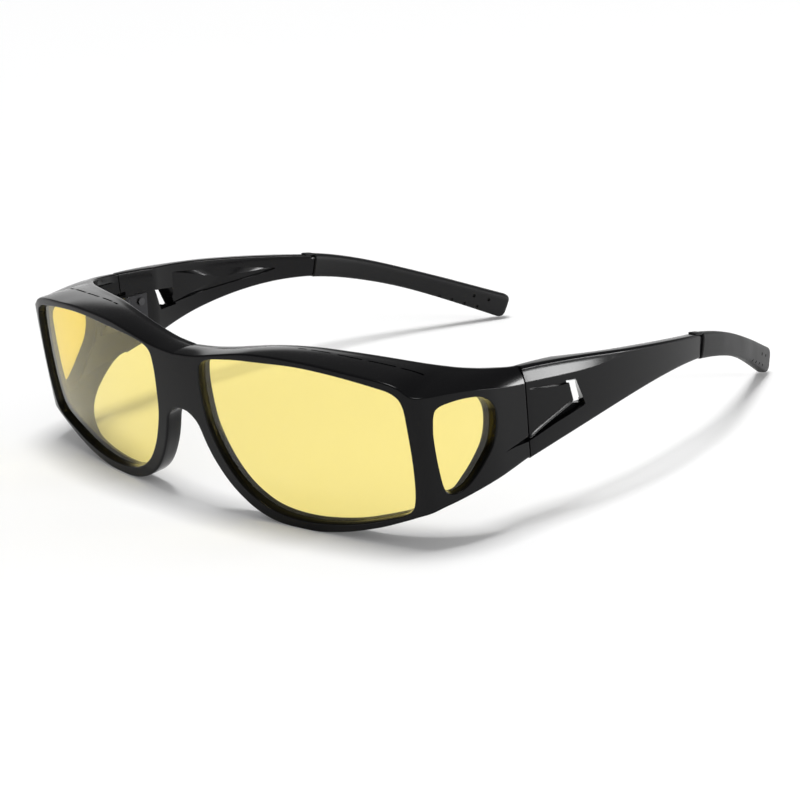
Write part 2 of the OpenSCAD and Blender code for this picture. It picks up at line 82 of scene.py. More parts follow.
def plan_table():
    """Distance, x, y and heading along the outer plan line: three arcs, each turning by its length over its radius,
    then straight."""
    arcs = [(FACE_R, 0.0, FACE_HEADING, FACE_STEPS), (CORNER_R, FACE_HEADING, CORNER_HEADING, ARC_STEPS),
            (SIDE_R, CORNER_HEADING, SIDE_HEADING, ARC_STEPS)]
    x, y, s = [0.0], [0.0], [0.0]
    heading = [0.0]
    for radius, h0, h1, n in arcs:
        h = np.linspace(h0, h1, n + 1)[1:]
        x0, y0, s0 = x[-1], y[-1], s[-1]
        x += list(x0 + radius * (np.sin(h) - np.sin(h0)))
        y += list(y0 + radius * (np.cos(h0) - np.cos(h)))
        s += list(s0 + radius * (h - h0))
        heading += list(h)
    for column, last in ((x, x[-1]), (y, y[-1] + STRAIGHT), (s, s[-1] + STRAIGHT), (heading, SIDE_HEADING)):
        column.append(last)
    return np.array(s), np.array(x), np.array(y), np.array(heading)


PLAN_S, PLAN_X, PLAN_Y, PLAN_H = plan_table()
S_CORNER, S_SIDE, S_FLAT = FACE_R * FACE_HEADING, PLAN_S[FACE_STEPS + ARC_STEPS], PLAN_S[-2]
BARREL, BARREL_MID, BARREL_HALF = 0.9, -1.0, 20.0


def smooth(t):
    """A step from 0 to 1 that starts and ends level: 3t² - 2t³ with t held between 0 and 1."""
    t = np.clip(t, 0, 1)
    return t * t * (3 - 2 * t)


def wall(s, w, depth):
    """Points of the front at (s, w), depth below its face: the plan point moved along its inward normal, bulged like
    a barrel across the face, then leaned about the face's middle line."""
    x, y, h = (np.interp(s, PLAN_S, column) for column in (PLAN_X, PLAN_Y, PLAN_H))
    across = 1 - smooth((s - S_CORNER + 4) / (S_SIDE - S_CORNER + 6))
    bulge = BARREL * (1 - np.minimum(1, ((w - BARREL_MID) / BARREL_HALF) ** 2)) * across
    inwards = depth - bulge
    px, py = x - inwards * np.sin(h), y + inwards * np.cos(h)
    y = FRONT_Y + FACE_SET + py * np.cos(LEAN) - w * np.sin(LEAN)
    return np.stack([px, y, FACE_Z + py * np.sin(LEAN) + w * np.cos(LEAN)], -1)


def w_at_z(s, z, depth):
    """The w at which the wall reaches a given height z: a few steps of w += (z - height) / cos(lean)."""
    w = np.full_like(s, 10.0)
    for _ in range(5):
        w = w + (z - wall(s, w, depth)[..., 2]) / np.cos(LEAN)
    return w


print("plan line to the gap:", round(float(np.interp(SIDE_DEPTH, PLAN_Y, PLAN_S)), 1), "mm; corner from",
      round(float(S_CORNER), 1))

# %% [markdown]
# The eye opening and the side window are closed outlines through a few points, joined by Catmull-Rom curves.
# The lower edge is an arch over the nose, a rim of even width under the eye, and a level edge under the side.

# %% Outlines of the openings and the lower edge
def cubic(a, b, c, d, steps):
    """Points of the Catmull-Rom cubic from b to c, where a and d are the points before and after them."""
    t = (np.arange(steps) / steps)[None, :, None]
    a, b, c, d = (q[:, None, :] for q in (a, b, c, d))
    curve = 0.5 * (2 * b + (c - a) * t + (2 * a - 5 * b + 4 * c - d) * t ** 2 + (3 * b - a - 3 * c + d) * t ** 3)
    return curve.reshape(-1, curve.shape[-1])


def closed_curve(points, steps):
    """A closed curve through the points: a cubic between each two."""
    p = np.asarray(points, float)
    return cubic(np.roll(p, 1, 0), p, np.roll(p, -1, 0), np.roll(p, -2, 0), steps)


def open_curve(points, steps=8):
    """A smooth curve through rows of numbers: the same cubic, with the first and last rows carried on straight."""
    p = np.asarray(points, float)
    p = np.concatenate([[2 * p[0] - p[1]], p, [2 * p[-1] - p[-2]]])
    return np.concatenate([cubic(p[:-3], p[1:-2], p[2:-1], p[3:], steps), p[-2:-1]])


# The rim is RIM_W wide below the eye, and pressed flat by REST_FLAT on the table at REST_X from the middle.
EYE_IN, EYE_W, EYE_H = 8.6, 55.4, 39.2
RIM_W, REST_X, REST_FLAT = 2.4, 34.638, 0.25
EYE_LOW = RIM_W - (FACE_Z + REST_FLAT + REST_X ** 2 / (2 * FACE_R) * np.sin(LEAN)) / np.cos(LEAN)
WINDOW_Y, WINDOW_LONG, WINDOW_Z, WINDOW_TALL = 15.9, 15.6, 13.3, 22.0
EYE_SHAPE = [(-.006, .64), (-.008, .84), (.026, .94), (.165, .98), (.33, .995), (.52, 1), (.7, .975), (.87, .93),
             (.95, .895), (.985, .83), (.995, .7), (1, .46), (.99, .25), (.96, .155), (.87, .1), (.68, .03), (.47, 0),
             (.29, .03), (.165, .125), (.075, .28), (.013, .48)]
WINDOW_SHAPE = [(-.05, .87), (-.052, .75), (-.038, .62), (.022, .37), (.107, .11), (.18, .02), (.285, 0), (.42, .03),
                (.58, .12), (.78, .28), (.93, .43), (1, .6), (.985, .78), (.86, .91), (.66, .98), (.38, 1),
                (.11, .98), (-.015, .94)]
LOW_EDGE = [(0, -.7), (1.3, -.8), (2.4, -1.2), (3.3, -1.7), (4.1, -2.4), (4.8, -3.1), (5.3, -4), (5.7, -4.9),
            (6, -5.8), (7, -8.7), (8.3, -11.6), (9.9, -14.4), (11.6, -16.9), (13.5, -19.1), (15.7, -21.1),
            (18.2, -22.8), (20.9, -24.1), (23.9, -25.1), (27.3, -25.7), (30.9, -26), (34.6, -26.1), (38.6, -25.8),
            (42.7, -25.2), (46.7, -24.4), (50.5, -23.4), (54.3, -22.3), (57.4, -21.2), (59.7, -20.3), (61.5, -19.6)]
LOW_SIDE = [(65, -18.62), (67.4, -17.85), (70.5, -17.1), (73.6, -16.6), (77, -16.1), (80.4, -15.65), (84.3, -15.25),
            (88.2, -14.95), (92.8, -14.6), (97.2, -14.25), (110, -13.6), (130, -13.2)]
FINE = 16


def s_of_x(x):
    """Distance along the plan line of a point of the face at x."""
    return np.interp(x, PLAN_X[:-1], PLAN_S[:-1])


def eye_loop():
    """The eye opening's outline as (s, w), clockwise from the nose."""
    shape = closed_curve(EYE_SHAPE, FINE)
    return np.stack([s_of_x(EYE_IN + EYE_W * shape[:, 0]), EYE_LOW + EYE_H * shape[:, 1]], 1)


def window_loop():
    """The side window's outline as (s, w): a side view in y and z, turned back by the lean into the wall's own
    height."""
    shape = closed_curve(WINDOW_SHAPE, FINE)
    y, z = WINDOW_Y + WINDOW_LONG * shape[:, 0] - FACE_SET, WINDOW_Z + WINDOW_TALL * shape[:, 1] - FACE_Z
    return np.stack([np.interp(y * np.cos(LEAN) + z * np.sin(LEAN), PLAN_Y, PLAN_S),
                     z * np.cos(LEAN) - y * np.sin(LEAN)], 1)


def low_line():
    """The lower edge as (s, w): the face's points turned from x to s, then the side's, as one smooth curve."""
    edge = np.array(LOW_EDGE)
    return open_curve(np.concatenate([np.column_stack([s_of_x(edge[:, 0]), edge[:, 1]]), LOW_SIDE])).T


LOW_S, LOW_W = low_line()
print("eye opening", np.ptp(eye_loop(), 0).round(1), "window", np.ptp(window_loop(), 0).round(1))

# %% [markdown]
# A shell is built from grids: rings of quads round each opening, strips between two edges. Each grid is one array
# of points, and its faces are counted off by rows and columns. The pieces of a shell share their border points,
# so merging the doubles closes it, and the normals are then recalculated to point outwards.

# %% Helpers: grids, merging and finishing a piece
def grid_faces(rows, columns, closed=False):
    """Quads of a rows x columns grid of points: each joins a point to its next column and next row. closed joins the
    last column to the first."""
    c = np.arange(columns if closed else columns - 1)
    r = np.arange(rows - 1)[:, None]
    a = r * columns + c
    b = r * columns + (c + 1) % columns
    return np.stack([a, b, b + columns, a + columns], -1).reshape(-1, 4)


def flipped(parts):
    """The same grids on the other side, x turned to -x."""
    return [(points * [-1, 1, 1], faces[:, ::-1]) for points, faces in parts]


def mirrored(parts):
    """The grids and their mirror images, as one list."""
    return parts + flipped(parts)


SIDES = (("left", list), ("right", flipped))


def round_ring(count, power=1):
    """Cosines and sines round a circle, each raised to a power p with its sign kept: |u|^(2/p) + |v|^(2/p) = 1."""
    a = np.linspace(0, 2 * np.pi, count, endpoint=False)
    return [np.sign(w) * np.abs(w) ** power for w in (np.cos(a), np.sin(a))]


def grid(points, closed=False):
    """A (points, faces) pair from an array of rows x columns x 3."""
    return points.reshape(-1, 3), grid_faces(points.shape[0], points.shape[1], closed)


def solid(name, parts, merge=2e-4, fill=False, sharp=38):
    """One mesh object from (points, faces) pairs in millimetres: doubles merged, any planned end filled, normals
    outwards."""
    vertices = np.concatenate([p for p, _ in parts]) * 0.001
    starts = np.cumsum([0] + [len(p) for p, _ in parts[:-1]])
    faces = [face for (_, f), start in zip(parts, starts) for face in (f + start).tolist()]
    mesh = bpy.data.meshes.new(name)
    mesh.from_pydata(vertices.tolist(), [], faces)
    bm = bmesh.new()
    bm.from_mesh(mesh)
    bmesh.ops.remove_doubles(bm, verts=bm.verts, dist=merge * 0.001)
    bmesh.ops.dissolve_degenerate(bm, edges=bm.edges, dist=1e-8)
    if fill:
        bmesh.ops.holes_fill(bm, edges=[e for e in bm.edges if e.is_boundary], sides=0)
    open_edges = sum(len(e.link_faces) != 2 for e in bm.edges)
    bmesh.ops.recalc_face_normals(bm, faces=bm.faces)
    bm.to_mesh(mesh)
    bm.free()
    mesh.polygons.foreach_set("use_smooth", np.ones(len(mesh.polygons), bool))
    mesh.set_sharp_from_angle(angle=np.radians(sharp))
    made = bpy.data.objects.new(name, mesh)
    bpy.context.scene.collection.objects.link(made)
    print(f"{name}: {len(mesh.polygons)} faces, {open_edges} open edges, size",
          (np.array(made.dimensions) * 1000).round(1))
    return made


def cut(piece, parts, name):
    """Cuts a closed shape out of a piece with an exact Boolean, applied at once, and removes the cutter."""
    cutter = solid(name, parts)
    modifier = piece.modifiers.new(name, "BOOLEAN")
    modifier.object, modifier.operation, modifier.solver = cutter, "DIFFERENCE", "EXACT"
    bpy.context.view_layer.update()
    result = bpy.data.meshes.new_from_object(piece.evaluated_get(bpy.context.evaluated_depsgraph_get()))
    piece.modifiers.clear()
    old, piece.data = piece.data, result
    result.name = piece.name
    bpy.data.meshes.remove(old)
    bpy.data.objects.remove(cutter)
    result.set_sharp_from_angle(angle=np.radians(38))


# %% [markdown]
# Every moulded edge is a little round, and that thin line of light along an edge is most of what makes plastic look
# real. So the depth of the skin below the face grows near each edge as a quarter circle, and rows of points lie
# close together there to carry it.

# %% Helpers: distances, round edges and rings
def spread(length, count, fine=(0, .06, .14, .25, .4, .6, .9)):
    """Shares of a length: close together at both ends, even between them."""
    fine = np.array(fine)
    return np.concatenate([fine[:-1], np.linspace(fine[-1], length - fine[-1], count),
                           (length - fine[:-1])[::-1]]) / length


def on_line(line, shares):
    """Points at shares of a line's length."""
    far = np.concatenate([[0], np.cumsum(np.linalg.norm(np.diff(line, axis=0), axis=1))])
    return np.stack([np.interp(shares * far[-1], far, column) for column in line.T], 1)


def on_loop(loop, start, end, shares):
    """Points at shares of the way round a loop from one of its drawn points to another; both may run past the loop's
    end."""
    k = np.linspace(start * FINE, end * FINE, 600)
    base = np.floor(k).astype(int)
    part = (k - base)[:, None]
    return on_line(loop[base % len(loop)] * (1 - part) + loop[(base + 1) % len(loop)] * part, shares)


def distance(points, line):
    """Distance of each point to a line of segments: the nearest of the feet of its perpendiculars."""
    p = points.reshape(-1, 1, 2)
    a, d = line[None, :-1], np.diff(line, axis=0)[None]
    t = np.clip(((p - a) * d).sum(-1) / np.maximum((d * d).sum(-1), 1e-12), 0, 1)
    return np.sqrt((((p - a) - d * t[..., None]) ** 2).sum(-1)).min(1).reshape(points.shape[:-1])


def rounded(far, radius):
    """How deep a round edge lies at a distance from it: radius minus the height of a quarter circle."""
    q = np.clip(1 - far / radius, 0, 1)
    return radius * (1 - np.sqrt(1 - q * q))


def ring(inner, outer, middle=6, near=(0, .04, .1, .19, .32, .5), last=(.9, .6, .36, .2, .1, .04, 0)):
    """Rows of points from an inner loop to an outer one: first by distance from the inner, then evenly, then by
    distance from the outer."""
    length = np.linalg.norm(outer - inner, axis=1)
    fit = np.minimum(1, length / 1.9)
    start, stop = near[-1] * fit, length - last[0] * fit
    between = [start + (stop - start) * k / (middle + 1) for k in range(1, middle + 1)]
    rows = [d * fit for d in near] + between + [length - d * fit for d in last]
    return np.stack([inner + (outer - inner) * (row / length)[:, None] for row in rows])


# %% [markdown]
# The front is a shell with an outer and an inner skin. Each half has two rings: one round the eye opening, and one
# round the side window, meeting on a line down the corner. Above them the brow runs as one facet from its ridge to
# a rear edge: nearly level over the eyes, dipping at the corner, and turning into a steep shoulder along the side.
# Its three lines, ridge, knee and rear edge, are a table by s. Strips of points join the two skins through the
# openings and along the lower edge, and the end at the hinge is filled flat.

# %% The front's borders in (s, w)
EYE, WINDOW = eye_loop(), window_loop()
LIP_R, LOW_R, GAP_R = 0.3, 0.45, 0.2
BROW_T, FRONT_T, SIDE_T = 2.0, 4.6, 3.2
S_MEET = S_SIDE
# s, ridge z, then the knee's and the rear edge's x, distance back from the bridge and z
BROW = [(0, 38.6, 0, 7.0, 38.95, 0, 7.7, 38.85), (7, 39.2, 6.6, 7.35, 39.5, 6.5, 8.05, 39.4),
        (13, 40.35, 12.6, 8.15, 40.3, 12.4, 8.85, 40.2), (19, 41.55, 18.3, 8.9, 41.35, 18.0, 9.6, 41.25),
        (24, 42.3, 23, 9.75, 42.15, 22.7, 10.4, 42.05), (30, 42.65, 28.6, 11.45, 42.65, 28.3, 12.1, 42.55),
        (37, 42.6, 34.8, 13.9, 42.7, 34.4, 14.5, 42.6), (44, 42.25, 40.8, 16.0, 42.45, 40.3, 16.6, 42.35),
        (50.5, 41.6, 46.6, 18.2, 42.1, 46.1, 18.8, 42.0), (57.2, 40.88, 52.6, 20.8, 41.5, 52.1, 21.5, 41.4),
        (61.5, 40.15, 57, 22.9, 40.95, 56.4, 23.7, 40.85), (63.8, 39.3, 59.6, 24.4, 40.6, 58.9, 25.2, 40.5),
        (65.4, 38.2, 61.4, 25.5, 40.35, 60.7, 26.4, 40.25), (66.9, 37.4, 62.7, 26.3, 40.2, 61.8, 27.2, 40.1),
        (70.8, 37.3, 64.6, 27.7, 39.95, 63.5, 28.5, 39.85), (76, 37.35, 66.6, 30.0, 39.6, 65.2, 30.6, 39.5),
        (82, 36.85, 68.3, 32.8, 39.2, 66.6, 33.2, 39.1), (88, 35.85, 69.5, 36.2, 38.75, 67.9, 36.5, 38.65),
        (93, 34.95, 70.2, 39.0, 38.4, 68.7, 39.0, 38.3), (98.2, 34.3, 70.5, 41.12, 38.15, 69.0, 41.12, 38.1),
        (103, 33.8, 70.6, 43.0, 38.0, 69.0, 43.0, 37.9)]
BROW_LINE = open_curve(BROW)


def thickness(s):
    """Wall thickness: the front's, turning into the side's over the corner."""
    return FRONT_T + (SIDE_T - FRONT_T) * np.clip((s - S_CORNER) / (S_SIDE - S_CORNER), 0, 1)


def gap_s(w):
    """Distance s at which the side meets the leaning gap: the straight side's y where the gap's plane crosses height
    w."""
    slope = np.tan(GAP_LEAN)
    back = SIDE_DEPTH - FACE_SET + w * np.sin(LEAN) - (FACE_Z - HINGE_Z + w * np.cos(LEAN)) * slope
    y = back / (np.cos(LEAN) + np.sin(LEAN) * slope)
    return np.interp(y, PLAN_Y, PLAN_S)


def brow_at(s, column):
    """One column of the brow's table at s."""
    return np.interp(s, BROW_LINE[:, 0], BROW_LINE[:, column])


def ridge_r(s):
    """Radius of the edge under the ridge: it softens to almost nothing where the shoulder turns steep."""
    return np.interp(s, [60, 72, 90], [.5, .3, .12])


def top_w(s):
    """Height of the outer skin's top, where the face turns over into the brow."""
    return w_at_z(s, brow_at(s, 1), ridge_r(s))


def under_w(s):
    """Height of the inner skin's top: the brow's underside, above the wall's inner face on the way from ridge to
    knee."""
    x, y = np.interp(s, PLAN_S, PLAN_X), np.interp(s, PLAN_S, PLAN_Y) + FACE_SET
    reach = np.hypot(brow_at(s, 2) - x, brow_at(s, 3) - y)
    rise = (brow_at(s, 4) - brow_at(s, 1)) * np.minimum(1, thickness(s) / np.maximum(reach, .1))
    return w_at_z(s, brow_at(s, 1) + rise - BROW_T - .5 * smooth((s - 78) / 12), thickness(s))


def low_w(s):
    """Height of the lower edge at s."""
    return np.interp(s, LOW_S, LOW_W)


def borders(top):
    """The sides of both rings as (s, w) lines, for a given top: the middle, the top over the eye, the corner line,
    the lower rim, and the side's four."""
    s_top = gap_s(top(np.array([S_FLAT + 10.0])))[0]
    s_top = gap_s(top(np.array([s_top])))[0]
    s_low = gap_s(low_w(np.array([S_FLAT + 10.0])))[0]
    line = lambda s0, s1, f: np.stack([np.linspace(s0, s1, 400), f(np.linspace(s0, s1, 400))], 1)
    corner = np.array([[S_MEET, top(np.array([S_MEET]))[0]], [S_MEET, low_w(S_MEET)]])
    arch = np.stack([LOW_S, LOW_W], 1)[LOW_S < S_MEET]
    rim = np.concatenate([corner[1:], arch[::-1]])
    middle = np.array([[0, LOW_W[0]], [0, top(np.array([0.0]))[0]]])
    gap = np.array([[s_low, low_w(s_low)], [s_top, top(np.array([s_top]))[0]]])
    return dict(middle=middle, top=line(0, S_MEET, top), corner=corner, rim=rim,
                side_top=line(S_MEET, s_top, top)[::-1], side_low=line(S_MEET, s_low, low_w), gap=gap)


OUT, IN = borders(top_w), borders(under_w)
print("corner line from", OUT["corner"].round(1).tolist(), "gap from", OUT["gap"].round(1).tolist())

# %% Rings of the outer and inner skin
SIDES_EYE = [("middle", 20.6, 23.0, 26), ("top", 23.0, 29.6, 90), ("corner", 29.6, 34.2, 56),
             ("rim", 34.2, 41.6, 150)]
SIDES_WINDOW = [("corner", -0.8, 4.4, 56), ("side_low", 4.4, 8.9, 44), ("gap", 8.9, 13.0, 40),
                ("side_top", 13.0, 17.2, 44)]


def skin_rings(b):
    """Both rings of one skin as (s, w) grids, and the columns where each side starts."""
    rings = []
    for loop, sides in ((EYE, SIDES_EYE), (WINDOW, SIDES_WINDOW)):
        inner, outer = [], []
        for name, start, end, count in sides:
            line = b[name]
            shares = spread(np.linalg.norm(np.diff(line, axis=0), axis=1).sum(), count)[:-1]
            inner.append(on_loop(loop, start, end, shares))
            outer.append(on_line(line, shares))
        rings.append((ring(np.concatenate(inner), np.concatenate(outer)), np.cumsum([0] + [len(o) for o in outer])))
    return rings


def outer_depth(sw):
    """Depth of the outer skin: the deepest of the round edges at the openings, the lower edge, the brow's ridge and
    the gap."""
    s, w = sw[..., 0], sw[..., 1]
    edges = [(np.concatenate([EYE, EYE[:1]]), LIP_R), (np.concatenate([WINDOW, WINDOW[:1]]), LIP_R),
             (np.stack([LOW_S, LOW_W], 1), LOW_R)]
    depth = np.max([rounded(distance(sw, line), radius) for line, radius in edges], 0)
    return np.maximum(depth, np.maximum(rounded(top_w(s) - w, ridge_r(s)), rounded(gap_s(w) - s, GAP_R)))


COLLAR = 1.8


def inner_depth(sw):
    """Depth of the inner skin: the wall's thickness, a collar round the window that grows towards its rear, less a
    small round at the openings and the lower edge."""
    edges = [np.concatenate([WINDOW, WINDOW[:1]]), np.concatenate([EYE, EYE[:1]]), np.stack([LOW_S, LOW_W], 1)]
    far = [distance(sw, line) for line in edges]
    back = smooth((sw[..., 0] - 73) / 6)
    collar = (.4 + (COLLAR - .4) * back) * smooth((3.0 - far[0]) / 1.4)
    return thickness(sw[..., 0]) + collar - np.max([rounded(d, 0.3) for d in far], 0)


outer_rings, inner_rings = skin_rings(OUT), skin_rings(IN)
outer_skin = [wall(sw[..., 0], sw[..., 1], outer_depth(sw)) for sw, _ in outer_rings]
inner_skin = [wall(sw[..., 0], sw[..., 1], inner_depth(sw)) for sw, _ in inner_rings]
print("points in the skins:", sum(p.shape[0] * p.shape[1] for p in outer_skin + inner_skin))

# %% [markdown]
# The brow itself is a strip of sections, one for each point of the ridge: up the facet to the knee, over to the rear
# edge, down, and back along the underside to the inner skin. Each corner of a section is eased by a short curve.

# %% The brow
def side_column(grids, ring_index, side, reverse=False):
    """The outermost points of a ring along one of its sides, both ends included."""
    points, starts = grids
    row = points[ring_index][-1]
    begin, end = starts[ring_index][side], starts[ring_index][side + 1]
    picked = np.concatenate([row, row[:1]])[begin:end + 1]
    return picked[::-1] if reverse else picked


def top_points(skin, rings):
    """The top edge of a skin, from the middle to the gap."""
    grids = (skin, [starts for _, starts in rings])
    return np.concatenate([side_column(grids, 0, 1), side_column(grids, 1, 3, True)[1:]])


def eased(before, corner, after, radius, steps):
    """Rows over a corner: a quadratic Bezier from a point a radius before it to one a radius after it, with the
    corner as its handle."""
    a, b = before - corner, after - corner
    la, lb = (np.maximum(np.linalg.norm(v, axis=1), 1e-9)[:, None] for v in (a, b))
    start, stop = corner + a / la * np.minimum(radius, .45 * la), corner + b / lb * np.minimum(radius, .45 * lb)
    return [(1 - f) ** 2 * start + 2 * f * (1 - f) * corner + f * f * stop for f in np.linspace(0, 1, steps)]


def roof():
    """The brow as one strip of sections from the ridge, over the knee and the rear edge, to the inner skin's top."""
    ridge, under = top_points(outer_skin, outer_rings), top_points(inner_skin, inner_rings)
    s = top_points([sw for sw, _ in outer_rings], outer_rings)[:, 0]
    knee, rear = (np.column_stack([brow_at(s, k), FRONT_Y + brow_at(s, k + 1), brow_at(s, k + 2)]) for k in (2, 5))
    knee[0, 0] = rear[0, 0] = 0
    for line in (knee, rear):
        line[-1, 1] = FRONT_Y + SIDE_DEPTH - (line[-1, 2] - HINGE_Z) * np.tan(GAP_LEAN)
    low = rear - [0, 0, BROW_T]
    low[-1, 1] += BROW_T * np.tan(GAP_LEAN)
    over = eased(ridge, knee, rear, .9, 6)
    rows = [ridge]
    crown = np.array([0, 0, .3])
    for f in (.02, .06, .13, .25, .4, .55, .7, .82, .92):
        rows.append(ridge + (over[0] - ridge) * f + crown * 4 * f * (1 - f))
    rows += over + eased(knee, rear, low, .45, 6) + eased(rear, low, under, .35, 5)
    foot = rows[-1]
    rows += [foot + (under - foot) * f for f in (.25, .5, .75, 1)]
    return np.stack(rows)


roof_grid = roof()
print("brow:", roof_grid.shape[:2], "points; rear edge at the middle", roof_grid[18, 0].round(1))

# %% The walls through the openings and along the lower edge, and the whole front
def joining(a, b, steps=4):
    """Rows of points in a straight line from one row to another."""
    return np.stack([a + (b - a) * k / steps for k in range(steps + 1)])


def front_parts():
    """All grids of the right half: skins, roof, the two openings' walls, and the lower edge."""
    parts = [grid(p, True) for p in outer_skin + inner_skin]
    parts += [grid(roof_grid)]
    parts += [grid(joining(outer_skin[k][0], inner_skin[k][0]), True) for k in (0, 1)]
    for index, side in ((0, 3), (1, 1)):
        a = side_column((outer_skin, [r[1] for r in outer_rings]), index, side)
        b = side_column((inner_skin, [r[1] for r in inner_rings]), index, side)
        parts.append(grid(joining(a, b)))
    return [(np.column_stack([p[:, :2], np.maximum(p[:, 2], 0)]), faces) for p, faces in parts]


front = solid("front", mirrored(front_parts()), fill=True)

# %% [markdown]
# Two kinds of cut are easier as a Boolean than in the grid: the round hollow that lets the hinge knuckles turn,
# and the narrow vent slits in the brow. Each cutter is itself a small closed grid.

# %% Cut the knuckle hollows and the vents
HINGE_LOW, HINGE_H, KNUCKLE_R = 22.8, 8.4, 1.5
KNUCKLE_ROOM, LEAF_T, LEAF_OFF = 0.3, 0.9, 0.2
AXIS_X, AXIS_Y = HINGE_X - SIDE_T - LEAF_T - LEAF_OFF, FRONT_Y + SIDE_DEPTH
PAST_ENDS, PAST_FACE = 1.6, 2


def upright(outline, middle, z0, z1):
    """A closed upright prism over a plan outline, as one grid: middle, outline, outline, middle."""
    rows = [np.column_stack([np.broadcast_to(points, outline.shape), np.full(len(outline), z)])
            for points, z in ((middle, z0), (outline, z0), (outline, z1), (middle, z1))]
    return grid(np.stack(rows), True)


def rod(cx, cy, radius, z0, z1, count=48):
    """A closed upright cylinder."""
    return upright((cx, cy) + radius * np.stack(round_ring(count), 1), (cx, cy), z0, z1)


def knuckle_cut():
    """The hollow that the hinge's knuckles turn in."""
    return rod(AXIS_X, AXIS_Y, KNUCKLE_R + KNUCKLE_ROOM, HINGE_LOW - PAST_ENDS, HINGE_LOW + HINGE_H + PAST_ENDS)


def slit(x0, y0, x1, y1, width, z0, z1):
    """A closed upright slit with round ends between two plan points: an outline swept from z0 to z1."""
    a = np.linspace(-np.pi / 2, np.pi / 2, 9)
    start, end = np.array([x0, y0]), np.array([x1, y1])
    u = (end - start) / np.linalg.norm(end - start)
    v = np.array([-u[1], u[0]])
    cap = width / 2 * (np.cos(a)[:, None] * u + np.sin(a)[:, None] * v)
    outline = np.concatenate([end + cap, start - cap])
    return upright(outline, (start + end) / 2, z0, z1)


SIDE_GROOVE = [(34.2, 19.85), (38.2, 20.15), (42.8, 20.15), (42.8, 21.6), (38.6, 20.75)]


def wedge_into_side():
    """The groove that runs on from the temple: a closed wedge, deepest at the gap and out at the face by its
    point."""
    y, z = np.array(SIDE_GROOVE).T
    floor_x = HINGE_X - .05 - 1.15 * np.clip((y - 34) / 8, 0, 1)
    above_x = np.full(len(y), HINGE_X + PAST_FACE)
    drawn = lambda v, flat: np.full(len(v), v.mean()) if flat else v
    return grid(np.stack([np.column_stack([drawn(x, flat), FRONT_Y + drawn(y, flat), drawn(z, flat)])
                          for x, flat in ((floor_x, True), (floor_x, False), (above_x, False),
                                          (above_x, True))]), True)


VENT_W, VENT_LOW, VENT_HIGH = 0.6, 30, 50
VENTS = [(31.8, 10.15, 33.5, 10.6), (35.0, 11.0, 39.6, 12.1), (41.9, 12.5, 47.7, 14.0), (49.5, 14.6, 55.6, 16.6),
         (57.2, 17.0, 61.8, 18.9)]
cut(front, mirrored([knuckle_cut()]), "knuckle_room")
cut(front, mirrored([slit(x0, FRONT_Y + y0, x1, FRONT_Y + y1, VENT_W, VENT_LOW, VENT_HIGH)
                     for x0, y0, x1, y1 in VENTS]), "vent_slits")
cut(front, mirrored([wedge_into_side()]), "side_groove")
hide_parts("front_frame")
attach(front, "front")
print("front after the cuts:", len(front.data.polygons), "faces")

# %% [markdown]
# Inside the outer corner the lower rim widens backwards into a shallow skirt that keeps light out from below, seen
# through the far lens. It is a ruled surface from a line inside the rim to a free edge drawn in space, hollowed
# towards the wall, with a rounded edge. It is a piece of its own that rides on the front.

# %% The skirt inside the lower corner
SKIRT = [(27, 27.2, 13.9, .35), (31.5, 31.2, 14.5, .3), (39, 37.9, 15.6, .4), (47.5, 45.2, 16.7, 1.5),
         (54, 50.9, 18.1, 3.1), (60, 56.3, 20.8, 5.0), (65, 60.6, 24.0, 6.9), (71, 63.4, 26.9, 8.4),
         (77, 65.6, 29.8, 9.9), (84, 67.6, 33.7, 11.9), (91, 69.2, 38.0, 14.1), (96, 69.6, 41.2, 15.8)]
SKIRT_T, FOOT_UP, FOOT_IN = .9, .25, .9


def skirt_grid():
    """Sections from the rim's inside to the free edge: below it level, round the edge, and back on top, where the
    height grows as the third power towards the wall."""
    line = open_curve(SKIRT, 10)
    s = line[:, 0]
    free = np.column_stack([line[:, 1], FRONT_Y + line[:, 2], line[:, 3]])
    foot = wall(s, low_w(s) + FOOT_UP, thickness(s) - FOOT_IN)
    half, fillet = SKIRT_T / 2, np.interp(s, [26, 52, 66, 97], [.4, .5, .1, .1])
    rows = [foot + (free - foot) * f for f in (0, .3, .6, .85)]
    inwards = free - foot
    inwards /= np.linalg.norm(inwards, axis=1)[:, None]
    for a in np.radians(np.linspace(-90, 90, 9)):
        rows.append(free + inwards * (half * np.cos(a)) - inwards * half + np.array([0, 0, half]) * (1 + np.sin(a)))
    for f in (.93, .8, .65, .5, .38, .27, .17, .08, 0):
        rows.append(foot + (free - foot) * f + np.array([0, 0, 1.0]) * (SKIRT_T + fillet * (1 - f) ** 3)[:, None])
    points = np.stack(rows, 1)
    points[..., 2] = np.maximum(points[..., 2], 0)
    return points


skirt = solid("front_skirts", mirrored([grid(skirt_grid(), True)]), fill=True)
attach(skirt, "front")

# %% [markdown]
# A lens is a thin clear sheet, sunk a little below the face and held by its edge in the rim. It is the same
# wall function at a constant depth, filled from its middle outwards, so it has exactly the face's curve.

# %% The lenses
def grown(loop, by):
    """A closed outline moved outwards along its normals."""
    d = np.roll(loop, -3, 0) - np.roll(loop, 3, 0)
    d /= np.linalg.norm(d, axis=1)[:, None]
    outwards = np.stack([-d[:, 1], d[:, 0]], 1)
    area = 0.5 * np.sum(loop[:, 0] * np.roll(loop[:, 1], -1) - np.roll(loop[:, 0], -1) * loop[:, 1])
    return loop + by * outwards * (1 if area < 0 else -1)


